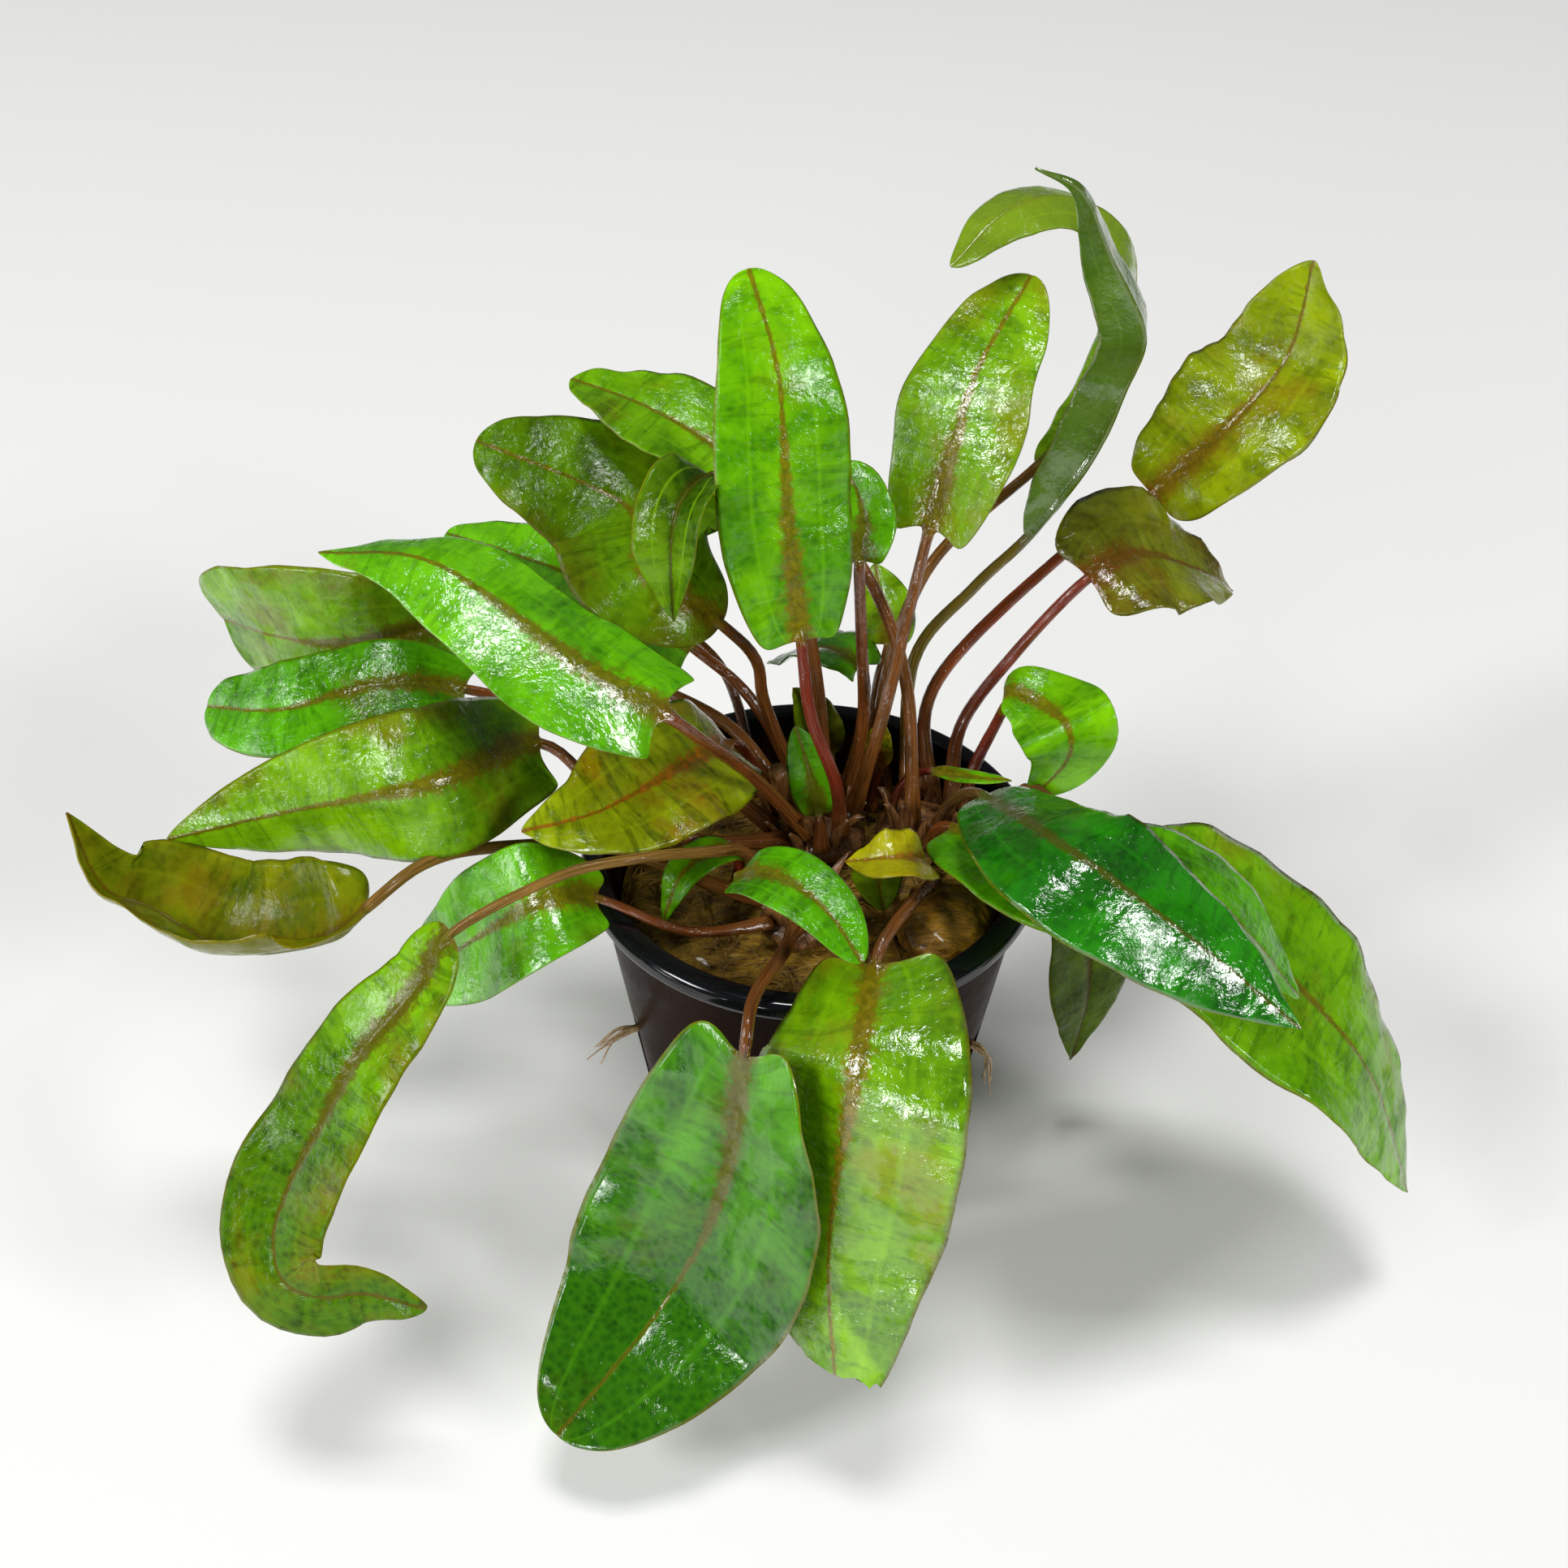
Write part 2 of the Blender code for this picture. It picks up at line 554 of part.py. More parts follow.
def make_leaf(leaf):
    """One leaf, stalk and blade in one body."""
    spine = Spine(leaf)
    stalk_length = spine.lengths[spine.base]
    count = max(2, min(6, round(stalk_length / 8) + 1))
    step = stalk_length * STALK_END / (count - 1)
    rings = [stalk_ring(leaf, spine, step * i) for i in range(count)]
    for u in YOUNG_RINGS if leaf.young else BLADE_RINGS:
        rings.append(blade_ring(leaf, spine, u))
    if leaf.cut:
        rings.append(blade_ring(leaf, spine, 1.0))
    vertices, faces = loft(rings, end=None if leaf.cut else spine.points[-1])
    material = make_material(leaf.name, COLOURS[leaf.colour], 0.25)
    return make_object(leaf.name, vertices, faces, material)


def circle(radius, z, sides, turn=0.0):
    """A level ring of points round the Z axis, turned by an angle in degrees."""
    angles = [math.tau * i / sides + math.radians(turn) for i in range(sides)]
    return [Vector((radius * math.cos(angle), radius * math.sin(angle), z)) for angle in angles]


def wall_radius(z):
    """The pot's outer radius at a height under the lip."""
    return BASE_RADIUS + (BAND_RADIUS - BASE_RADIUS) * z / (POT_HEIGHT - LIP_HEIGHT)


def make_pot():
    """The net pot: a lathe profile whose wall leaves out every third panel between two heights."""
    under_lip = POT_HEIGHT - LIP_HEIGHT
    outer = [
        (BASE_RADIUS - 0.8, 0.0),
        (wall_radius(0.8), 0.8),
        (wall_radius(SLOT_BOTTOM), SLOT_BOTTOM),
        (wall_radius(SLOT_TOP), SLOT_TOP),
        (BAND_RADIUS, under_lip),
        (RIM_RADIUS - 0.3, under_lip + 0.1),
        (RIM_RADIUS, under_lip + 0.9),
        (RIM_RADIUS - 0.2, POT_HEIGHT - 0.6),
        (RIM_RADIUS - 0.9, POT_HEIGHT),
    ]
    inner = [
        (BAND_RADIUS - WALL + 0.3, POT_HEIGHT),
        (BAND_RADIUS - WALL - 0.2, under_lip),
        (wall_radius(SLOT_TOP) - WALL, SLOT_TOP),
        (wall_radius(SLOT_BOTTOM) - WALL, SLOT_BOTTOM),
        (wall_radius(FLOOR) - WALL, FLOOR),
    ]
    profile = outer + inner
    vertices = [point for radius, z in profile for point in circle(radius, z, POT_SIDES, SLOT_TURN)]
    outer_slot = 2
    inner_slot = len(outer) + 2
    faces = []
    for row in range(len(profile) - 1):
        for side in range(POT_SIDES):
            if side % 3 == 0 and row in (outer_slot, inner_slot):
                continue
            near = row * POT_SIDES + side
            far = row * POT_SIDES + (side + 1) % POT_SIDES
            faces.append((near, far, far + POT_SIDES, near + POT_SIDES))
    for side in range(0, POT_SIDES, 3):
        low_near = outer_slot * POT_SIDES + side
        low_far = outer_slot * POT_SIDES + side + 1
        high_near = low_near + POT_SIDES
        high_far = low_far + POT_SIDES
        in_high_near = inner_slot * POT_SIDES + side
        in_high_far = in_high_near + 1
        in_low_near = in_high_near + POT_SIDES
        in_low_far = in_high_far + POT_SIDES
        faces.append((low_near, low_far, in_low_far, in_low_near))
        faces.append((high_near, high_far, in_high_far, in_high_near))
        faces.append((low_near, high_near, in_high_near, in_low_near))
        faces.append((low_far, high_far, in_high_far, in_low_far))
    last = (len(profile) - 1) * POT_SIDES
    vertices.append(Vector((0, 0, 0)))
    vertices.append(Vector((0, 0, FLOOR)))
    for side in range(POT_SIDES):
        after = (side + 1) % POT_SIDES
        faces.append((side, after, len(vertices) - 2))
        faces.append((last + side, last + after, len(vertices) - 1))
    return make_object("pot", vertices, faces, make_material("pot", (0.010, 0.012, 0.016), 0.2))


def make_wool_plug():
    """The wool: tapered like the pot's inside, its top torn away from the wall at the back and right."""
    inside = [(FLOOR + GAP, GAP), (20.0, GAP), (38.0, GAP + 0.1)]
    rings = []
    for z, clear in inside:
        rings.append(circle((wall_radius(z) - WALL - clear) * 0.995, z, WOOL_SIDES))
    for part, drop in ((0.97, 1.6), (0.86, 0.3), (0.6, 0.0)):
        ring = []
        for i in range(WOOL_SIDES):
            angle = math.tau * i / WOOL_SIDES
            behind = max(0.0, math.sin(angle - 0.5))
            reach = part * (22.4 - 2.4 * behind) + 0.5 * math.sin(5 * angle) * part
            bumps = 0.35 * math.sin(7 * angle + 3 * part)
            z = WOOL_TOP - 0.4 - drop - 2.5 * behind * part**3 + bumps * part
            ring.append(Vector((reach * math.cos(angle), reach * math.sin(angle), z)))
        rings.append(ring)
    vertices, faces = loft(rings, start=Vector((0, 0, FLOOR + GAP)), end=Vector((0, 0, WOOL_TOP - 0.4)))
    return make_object("wool_plug", vertices, faces, make_material("wool_plug", (0.10, 0.060, 0.020), 0.6))


def make_wool_lump():
    """A rounded lump that stands on the wool."""
    rings = []
    sides = 12
    for height in (-0.9, -0.3, 0.3, 0.8):
        wide = math.sqrt(1 - height**2)
        ring = []
        for i in range(sides):
            angle = math.tau * i / sides
            uneven = 1 + 0.06 * math.sin(3 * angle + 2 * height)
            offset = Vector((math.cos(angle) * wide * uneven, math.sin(angle) * wide * uneven, height))
            ring.append(LUMP_CENTRE + offset * LUMP_RADII)
        rings.append(ring)
    top = LUMP_CENTRE + Vector((0, 0, LUMP_RADII.z))
    vertices, faces = loft(rings, end=top)
    return make_object("wool_lump", vertices, faces, make_material("wool_lump", (0.16, 0.090, 0.030), 0.5))


def make_crown(name, middle, radius):
    """A low, uneven rootstock that the stalks stand on."""
    sides = 14
    rings = []
    for part, z in ((0.88, CROWN_BOTTOM), (1.0, CROWN_BOTTOM + 0.8), (0.94, CROWN_TOP)):
        ring = []
        for i in range(sides):
            angle = math.tau * i / sides
            reach = radius * part * (1 + 0.05 * math.sin(4 * angle + radius))
            x = middle[0] + reach * math.cos(angle)
            y = middle[1] + reach * math.sin(angle)
            ring.append(Vector((x, y, z)))
        rings.append(ring)
    vertices, faces = loft(rings)
    return make_object(name, vertices, faces, make_material(name, (0.12, 0.050, 0.020), 0.5))


def make_tube(name, control, radii, colour, sides=6):
    """A closed round body along a smooth line, with a radius for its first and its last point."""
    line = smooth_line(control, steps=2)
    rings = []
    for i, point in enumerate(line):
        ahead = line[min(i + 1, len(line) - 1)]
        behind = line[max(i - 1, 0)]
        turn = (ahead - behind).to_track_quat("Z", "Y")
        radius = radii[0] + (radii[1] - radii[0]) * i / (len(line) - 1)
        rings.append([point + turn @ offset for offset in circle(radius, 0, sides)])
    vertices, faces = loft(rings)
    return make_object(name, vertices, faces, make_material(name, colour, 0.4))


def main():
    clear_scene()
    make_pot()
    make_wool_plug()
    make_wool_lump()
    for name, (middle, radius) in CROWNS.items():
        make_crown(name, middle, radius)
    for leaf in LEAVES:
        make_leaf(leaf)
    make_tube("old_stalk", OLD_STALK, (1.3, 1.0), (0.20, 0.10, 0.04))
    for name, control in ROOTS.items():
        make_tube(name, control, (0.5, 0.3), (0.45, 0.33, 0.20), sides=5)


main()
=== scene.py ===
"""A cryptocoryne in a small net pot, dressed as it looks fresh from the water.

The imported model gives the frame: metres, +Z up, the pot standing on z = 0 with its middle on the Z
axis and the viewer of the photograph on the -Y side. Sizes here are millimetres and degrees, and MM
turns them into metres when a mesh is finished. Each leaf follows the same middle line and the same
width rule as its solid, with a far finer skin.
"""

from __future__ import annotations

import logging
import math
import random
from abc import ABC, abstractmethod
from dataclasses import dataclass, field
from enum import Enum
from itertools import accumulate
from typing import Any, Callable, Iterable, Sequence, Union

import bmesh
import bpy
from mathutils import Matrix, Vector, noise


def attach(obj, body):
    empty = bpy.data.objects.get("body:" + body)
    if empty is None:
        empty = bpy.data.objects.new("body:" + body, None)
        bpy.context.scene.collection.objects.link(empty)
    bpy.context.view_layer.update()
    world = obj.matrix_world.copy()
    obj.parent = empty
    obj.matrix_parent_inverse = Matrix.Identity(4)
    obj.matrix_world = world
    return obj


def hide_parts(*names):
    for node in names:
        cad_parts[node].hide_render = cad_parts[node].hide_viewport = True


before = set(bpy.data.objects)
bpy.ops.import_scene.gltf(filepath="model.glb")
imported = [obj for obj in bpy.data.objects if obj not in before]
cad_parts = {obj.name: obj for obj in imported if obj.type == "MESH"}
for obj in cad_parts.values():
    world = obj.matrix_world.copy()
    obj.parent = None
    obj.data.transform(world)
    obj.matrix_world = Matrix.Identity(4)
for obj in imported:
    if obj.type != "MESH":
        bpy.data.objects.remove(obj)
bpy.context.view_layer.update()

log = logging.getLogger("cryptocoryne")

Tree = bpy.types.NodeTree
Socket = bpy.types.NodeSocket
Mesh = bmesh.types.BMesh
Paint = Union[str, Socket]
Inputs = dict[Union[int, str], Any]
Point = tuple[float, float, float]

MM = 0.001

# The height of most leaves' roots, in the rootstocks' tops
ROOT_Z = 46.7

# How finely a leaf is laid: points for each control point, millimetres between rows, columns a side
SPLINE_STEPS = 12
STALK_ROW = 1.3
BLADE_ROW = 0.5
YOUNG_COLUMNS = 20
GROWN_COLUMNS = 30

# The leaves' common form. EAR, FOLD_BEGINS and TORN_SHARE are shares of a blade's length, and its
# waves and ripples are counted along that length
EAR = 0.05
FOLD_BEGINS = 0.12
TORN_SHARE = 0.9
SHEATH_LENGTH = 9.0
STALK_TAPER = 0.25
RIB_TAPER = 0.86
WAVES = 2.4
WAVE_SHIFT = 1.2
RIPPLES = 7.5
RIPPLE_SHARE = 0.22
DENT_SPANS = ((4.5, 6.5), (1.9, 4.0))
BLADE_HALF_THICKNESS = 0.17
GROOVE_DEPTH = 0.10
GROOVE_HALF_WIDTH = 0.55
RIB_STAIN = 0.16
RIB_STAIN_WIDTH = 2.2

# Inputs and output of the Mix node in its colour form, and inputs of Map Range, reached by number
FACTOR, UNDER, OVER, MIXED = 0, 6, 7, 2
VALUE, START, END, LOW, HIGH = 0, 1, 2, 3, 4


def linear(colour: str) -> tuple[float, float, float, float]:
    """Turns an sRGB hex colour into the linear values that shaders take.

    Args:
        colour: six hex digits with a leading hash sign.

    Returns:
        Red, green, blue and an alpha of one.
    """
    parts = [int(colour[start : start + 2], 16) / 255 for start in (1, 3, 5)]
    red, green, blue = (p / 12.92 if p <= 0.04045 else ((p + 0.055) / 1.055) ** 2.4 for p in parts)
    return red, green, blue, 1.0


def feed(node: bpy.types.Node, inputs: Inputs) -> None:
    """Gives a node its inputs.

    Args:
        node: the node.
        inputs: by name or number: a socket to link, a hex colour, or a plain value.
    """
    for name, value in inputs.items():
        if isinstance(value, Socket):
            node.id_data.links.new(value, node.inputs[name])
        else:
            node.inputs[name].default_value = linear(value) if isinstance(value, str) else value


def add(tree: Tree, kind: str, inputs: Inputs, out: int | str = 0, **settings: Any) -> Socket:
    """Adds a node to a tree, sets it up and links it.

    Args:
        tree: the material's node tree.
        kind: the node's type, less Blender's prefix for shader nodes.
        inputs: what its inputs take, as feed has it.
        out: which of its outputs is wanted.
        settings: the node's own properties.

    Returns:
        The wanted output.
    """
    node = tree.nodes.new("ShaderNode" + kind)
    for name, setting in settings.items():
        setattr(node, name, setting)
    feed(node, inputs)
    return node.outputs[out]


def cover(
    tree: Tree,
    under: Paint,
    over: Paint,
    pattern: Socket,
    reach: tuple[float, float],
    most: float = 1.0,
    soft: bool = False,
) -> Socket:
    """Lays one colour over another where a pattern's values run through a range.

    Args:
        tree: the material's nodes.
        under: the colour so far.
        over: the colour that covers it.
        pattern: the pattern.
        reach: the pattern's values at which the cover starts and is full.
        most: how much of the full cover shows.
        soft: whether the cover's edge is eased.

    Returns:
        The new colour.
    """
    easing = "SMOOTHSTEP" if soft else "LINEAR"
    ends = {VALUE: pattern, START: reach[0], END: reach[1], HIGH: most}
    mask = add(tree, "MapRange", ends, interpolation_type=easing)
    return add(tree, "Mix", {FACTOR: mask, UNDER: under, OVER: over}, MIXED, data_type="RGBA")


class Finish(ABC):
    """A finish, made as one material around the Principled shader."""

    @abstractmethod
    def surface(self, tree: Tree) -> Inputs:
        """What each of the shader's inputs takes, with the nodes that work it out."""

    def material(self, name: str) -> bpy.types.Material:
        """Makes the finish's material.

        Args:
            name: the material's name.

        Returns:
            The new material.
        """
        made = bpy.data.materials.new(name)
        made.use_nodes = True
        feed(made.node_tree.nodes["Principled BSDF"], self.surface(made.node_tree))
        return made


def smooth_step(value: float, low: float, high: float) -> float:
    """Rises smoothly from 0 at low to 1 at high."""
    t = min(1.0, max(0.0, (value - low) / (high - low)))
    return t * t * (3 - 2 * t)


def blend(a: float, b: float, share: float) -> float:
    """The value between a and b at a share from 0 to 1."""
    return a + (b - a) * share


def smooth_line(control: Iterable[Iterable[float]], steps: int = SPLINE_STEPS) -> list[Vector]:
    """Points on a smooth curve through control points.

    Args:
        control: the points that the curve passes through.
        steps: how many points it gets for each control point.

    Returns:
        The curve's points, ends included.
    """
    points = [Vector(point) for point in control]
    padded = [points[0] * 2 - points[1], *points, points[-1] * 2 - points[-2]]
    line = []
    for a, b, c, d in zip(padded, padded[1:], padded[2:], padded[3:]):
        square = a * 2 - b * 5 + c * 4 - d
        cube = b * 3 - a - c * 3 + d
        for step in range(steps):
            t = step / steps
            line.append(0.5 * (b * 2 + (c - a) * t + square * t**2 + cube * t**3))
    line.append(points[-1])
    return line


def directions(line: Sequence[Vector]) -> list[Vector]:
    """The way from the point before to the point after, at each point of a line."""
    last = len(line) - 1
    return [line[min(i + 1, last)] - line[max(i - 1, 0)] for i in range(last + 1)]


def make_piece(
    name: str, work: Mesh, material: bpy.types.Material, slot: str, node: str | None = None
) -> bpy.types.Object:
    """Turns a bmesh in millimetres into a smooth-shaded object in metres on the plant's one body.

    Args:
        name: the piece's name.
        work: the mesh, which is freed.
        material: its one material.
        slot: the record's slot that it belongs to; not used.
        node: the solid that it replaces, if it replaces one.

    Returns:
        The new object.
    """
    bmesh.ops.recalc_face_normals(work, faces=work.faces)
    bmesh.ops.scale(work, vec=(MM, MM, MM), verts=work.verts)
    mesh = bpy.data.meshes.new(name)
    work.to_mesh(mesh)
    work.free()
    mesh.materials.append(material)
    mesh.shade_smooth()
    piece = bpy.data.objects.new(name, mesh)
    bpy.context.scene.collection.objects.link(piece)
    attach(piece, "root")
    if node:
        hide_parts(node)
    return piece


def grid_skin(
    work: Mesh,
    rows: int,
    columns: int,
    place: Callable[[int, int], Vector],
    mark: Callable[[bmesh.types.BMVert, int, int], None] | None = None,
) -> None:
    """Lays a closed skin: rows run along it, columns run round it and both ends get a cap.

    Args:
        work: the mesh that takes the skin.
        rows: how many rows of faces.
        columns: how many columns of faces.
        place: gives the point for a row and a column number.
        mark: writes a vertex's own values, before the seam is merged.
    """
    made = bmesh.ops.create_grid(work, x_segments=rows, y_segments=columns, size=0.5)["verts"]
    for vertex in made:
        row = round((vertex.co.x + 0.5) * rows)
        column = round((vertex.co.y + 0.5) * columns)
        vertex.co = place(row, column)
        if mark:
            mark(vertex, row, column)
    bmesh.ops.remove_doubles(work, verts=made, dist=1e-5)
    open_edges = [edge for edge in work.edges if edge.is_boundary]
    bmesh.ops.holes_fill(work, edges=open_edges, sides=0)


def turned(profile: Sequence[tuple[float, float]], steps: int, turn: float = 0.0) -> Mesh:
    """Spins a section about the Z axis.

    Args:
        profile: radius and height of each point.
        steps: how many columns of faces it gets.
        turn: the angle at which the first column starts.

    Returns:
        The turned mesh, in millimetres.
    """
    work = bmesh.new()
    vertices = [work.verts.new((r * math.cos(turn), r * math.sin(turn), z)) for r, z in profile]
    edges = [work.edges.new(pair) for pair in zip(vertices, vertices[1:])]
    round_z = {"axis": (0, 0, 1), "cent": (0, 0, 0), "angle": math.tau, "steps": steps}
    bmesh.ops.spin(work, geom=vertices + edges, use_merge=True, **round_z)
    bmesh.ops.remove_doubles(work, verts=work.verts, dist=1e-4)
    bmesh.ops.dissolve_degenerate(work, edges=work.edges, dist=1e-5)
    return work


def arc(
    x: float, z: float, radius: float, start: float, end: float, steps: int
) -> list[tuple[float, float]]:
    """Points on an arc of a section, in equal steps.

    Args:
        x: the middle's distance from the axis.
        z: the middle's height.
        radius: the arc's radius.
        start: the angle before the first point, in degrees.
        end: the last point's angle.
        steps: how many points.

    Returns:
        Radius and height of each point.
    """
    angles = [math.radians(start + (end - start) * step / steps) for step in range(1, steps + 1)]
    return [(x + radius * math.cos(angle), z + radius * math.sin(angle)) for angle in angles]


@dataclass(frozen=True)
class Tube:
    """A round strand along a smooth line: a stalk, a rootlet or a fibre."""

    line: list[Vector]
    start_radius: float
    end_radius: float
    sides: int = 8

    def build(self, work: Mesh) -> None:
        """Adds the strand to a mesh.

        Args:
            work: the mesh that takes it.
        """
        last = len(self.line) - 1
        turns = [way.to_track_quat("Z", "Y") for way in directions(self.line)]

        def place(row: int, column: int) -> Vector:
            """Works out the point for a row along the strand and a column round it.

            Args:
                row: counted from the strand's start.
                column: counted round it.

            Returns:
                The point in millimetres.
            """
            angle = math.tau * column / self.sides
            radius = blend(self.start_radius, self.end_radius, row / last)
            offset = Vector((math.cos(angle), math.sin(angle), 0)) * radius
            return self.line[row] + turns[row] @ offset

        grid_skin(work, last, self.sides, place)


class Mark(Enum):
    """What a leaf's skin carries for its material, point by point.

    PLACE is millimetres along and across the leaf and a number of its own. ALONG runs from -1 at the
    stalk's foot through 0 at the blade's base to 1 at its tip, ACROSS from -1 to 1 between the
    margins and BENEATH from 0 above to 1 below. SHADE darkens the green, partly as the leaf's own
    darker tone and partly as painted shadow, and below zero it paints light. BROWN ages the green.
    """

    PLACE = "leaf_place"
    ALONG = "leaf_along"
    ACROSS = "leaf_across"
    BENEATH = "leaf_under"
    SHADE = "leaf_shade"
    BROWN = "leaf_brown"


@dataclass(frozen=True)
class LeafSkin(Finish):
    """Living leaf: a waxy green skin under a film of water.

    The film gives broad white glare with sharp edges, and the fine wrinkles under it break the glare
    into sparks. The green pales and ages to olive and brown in patches, and a brown rib widens
    towards the stalk. Patterns are drawn on the leaf's own millimetres, so a scale of 1 / 8 makes
    patches about 8 mm wide.

    light and dark are the two tones of green, aged is what they turn to and age says how much has
    turned. rib_width is half the brown rib's width at the blade's base. under colours the blade's
    underside, and the stalk goes over to foot at its foot. streaks and parallel say how strongly the
    cross streaks and the side veins show. roughness is the bare skin's, wrinkle multiplies the depth
    of the relief, film is how much water lies on the leaf, and gloss is the film's IOR. cork mottles
    the rib, margin edges the blade and shadow darkens the streaks.
    """

    light: str
    dark: str
    aged: str
    age: float
    rib: str
    rib_width: float
    under: str
    stalk: str
    streaks: float = 0.42
    parallel: float = 0.25
    roughness: float = 0.25
    wrinkle: float = 1.0
    film: float = 1.0
    gloss: float = 1.55
    foot: str = "#7C4C20"
    cork: str = "#4E3A06"
    margin: str = "#807A16"
    shadow: str = "#56782A"

    def surface(self, tree: Tree) -> Inputs:
        """Works out the leaf's colour, its film of water and its relief.

        Args:
            tree: the material's nodes.

        Returns:
            What each of the shader's inputs takes.
        """
        at = {mark: add(tree, "Attribute", {}, "Fac", attribute_name=mark.value) for mark in Mark}
        place = at[Mark.PLACE] = at[Mark.PLACE].node.outputs["Vector"]
        # Water lies in patches: the wet ones are mirror-smooth, the drained ones satin
        patches = {"Scale": 1 / 3.5, "Detail": 3.0, "Roughness": 0.6}
        wet = add(tree, "TexNoise", {"Vector": place, **patches})
        satin = {START: 0.42, END: 0.62, LOW: self.roughness * 0.55, HIGH: self.roughness * 1.7}
        rough = add(tree, "MapRange", {VALUE: wet, **satin}, interpolation_type="SMOOTHSTEP")
        filled = {START: 0.60, END: 0.50, LOW: 0.3 * self.film, HIGH: self.film}
        film = add(tree, "MapRange", {VALUE: wet, **filled})
        relief = self.relief(tree, place, wet)
        colour = self.rib_colour(tree, self.blade_colour(tree, at), at)
        return {
            "Base Color": self.stalk_colour(tree, colour, at),
            "Roughness": rough,
            "Normal": relief,
            "IOR": 1.1,
            "Coat Weight": film,
            "Coat Normal": relief,
            "Coat Roughness": 0.07,
            "Coat IOR": self.gloss,
        }

    def blade_colour(self, tree: Tree, at: dict[Mark, Socket]) -> Socket:
        """The green of the blade, with its pale and aged patches, dark streaks and side veins.

        Args:
            tree: the material's nodes.
            at: what the skin carries.

        Returns:
            The colour.
        """
        place = at[Mark.PLACE]
        patches = {"Scale": 1 / 8, "Detail": 4.0, "Roughness": 0.62, "Distortion": 0.6}
        patch = add(tree, "TexNoise", {"Vector": place, **patches})
        # Painted shadow with the leaf's own darker tone: its shade value pushes the patches to the dark
        # green, and below zero it paints light
        patch = add(tree, "Math", {0: patch, 1: at[Mark.SHADE]}, operation="SUBTRACT")
        colour = cover(tree, self.dark, self.light, patch, (0.34, 0.64))
        # Ageing comes in softer patches
        moved = add(tree, "VectorMath", {0: place, 1: (31.0, 17.0, 5.0)}, operation="ADD")
        softer = {"Scale": 1 / 12, "Detail": 5.0, "Roughness": 0.65}
        age = add(tree, "TexNoise", {"Vector": moved, **softer})
        age = add(tree, "Math", {0: age, 1: at[Mark.BROWN]}, operation="ADD")
        young = 0.42 * self.age
        colour = cover(tree, colour, self.aged, age, (0.66 - young, 0.86 - young), 0.85, soft=True)
        # Dark streaks lie across the blade, 1.5 mm apart and 7 mm long
        slant = {"Scale": (1 / 1.5, 1 / 7, 1.0), "Rotation": (0.0, 0.0, 0.12)}
        stretched = add(tree, "Mapping", {"Vector": place, **slant})
        streaks = {"Scale": 1.0, "Detail": 3.0, "Roughness": 0.6, "Distortion": 0.8}
        streak = add(tree, "TexNoise", {"Vector": stretched, **streaks})
        shaded = {FACTOR: 1.0, UNDER: colour, OVER: self.shadow}
        deep = add(tree, "Mix", shaded, MIXED, data_type="RGBA", blend_type="MULTIPLY")
        colour = cover(tree, colour, deep, streak, (0.48, 0.64), self.streaks, soft=True)
        # Side veins run from base to tip in step with the margin, four on each half
        size = add(tree, "Math", {0: at[Mark.ACROSS]}, operation="ABSOLUTE")
        veins = add(tree, "Math", {0: size, 1: math.pi * 4}, operation="MULTIPLY")
        veins = add(tree, "Math", {0: veins}, operation="COSINE")
        colour = cover(tree, colour, self.light, veins, (0.86, 1.0), self.parallel)
        # The cells between the finest veins are about 0.9 mm wide and a little darker in the middle
        cells = {"Vector": place, "Scale": 1 / 0.9, "Randomness": 0.9}
        cell = add(tree, "TexVoronoi", cells, "Distance", feature="F1")
        return cover(tree, colour, self.light, cell, (0.1, 0.7), 0.22)

    def rib_colour(self, tree: Tree, colour: Socket, at: dict[Mark, Socket]) -> Socket:
        """Lays on the brown rib, wide at the base and thin at the tip, the margin and the underside.

        Args:
            tree: the material's nodes.
            colour: the blade's colour.
            at: what the skin carries.

        Returns:
            The new colour.
        """
        place = at[Mark.PLACE]
        taper = {VALUE: at[Mark.ALONG], START: 0.0, END: 0.75, LOW: self.rib_width, HIGH: 0.28}
        width = add(tree, "MapRange", taper, interpolation_type="SMOOTHERSTEP")
        # Specks about 0.8 mm wide make the rib's edges uneven and its cork darker
        specks = {"Scale": 1 / 0.8, "Detail": 4.0, "Roughness": 0.75}
        mottle = add(tree, "TexNoise", {"Vector": place, **specks})
        uneven = add(tree, "MapRange", {VALUE: mottle, START: 0.32, END: 0.68, LOW: 0.35, HIGH: 1.7})
        width = add(tree, "Math", {0: width, 1: uneven}, operation="MULTIPLY")
        sideways = add(tree, "SeparateXYZ", {"Vector": place}, "Y")
        sideways = add(tree, "Math", {0: sideways}, operation="ABSOLUTE")
        share = add(tree, "Math", {0: sideways, 1: width}, operation="DIVIDE")
        rib = cover(tree, self.rib, self.cork, mottle, (0.62, 0.42), 0.75)
        colour = cover(tree, colour, rib, share, (1.2, 0.4), 0.85, soft=True)
        size = add(tree, "Math", {0: at[Mark.ACROSS]}, operation="ABSOLUTE")
        colour = cover(tree, colour, self.margin, size, (0.955, 0.995), 0.8, soft=True)
        return cover(tree, colour, self.under, at[Mark.BENEATH], (0.5, 0.9), 0.7)

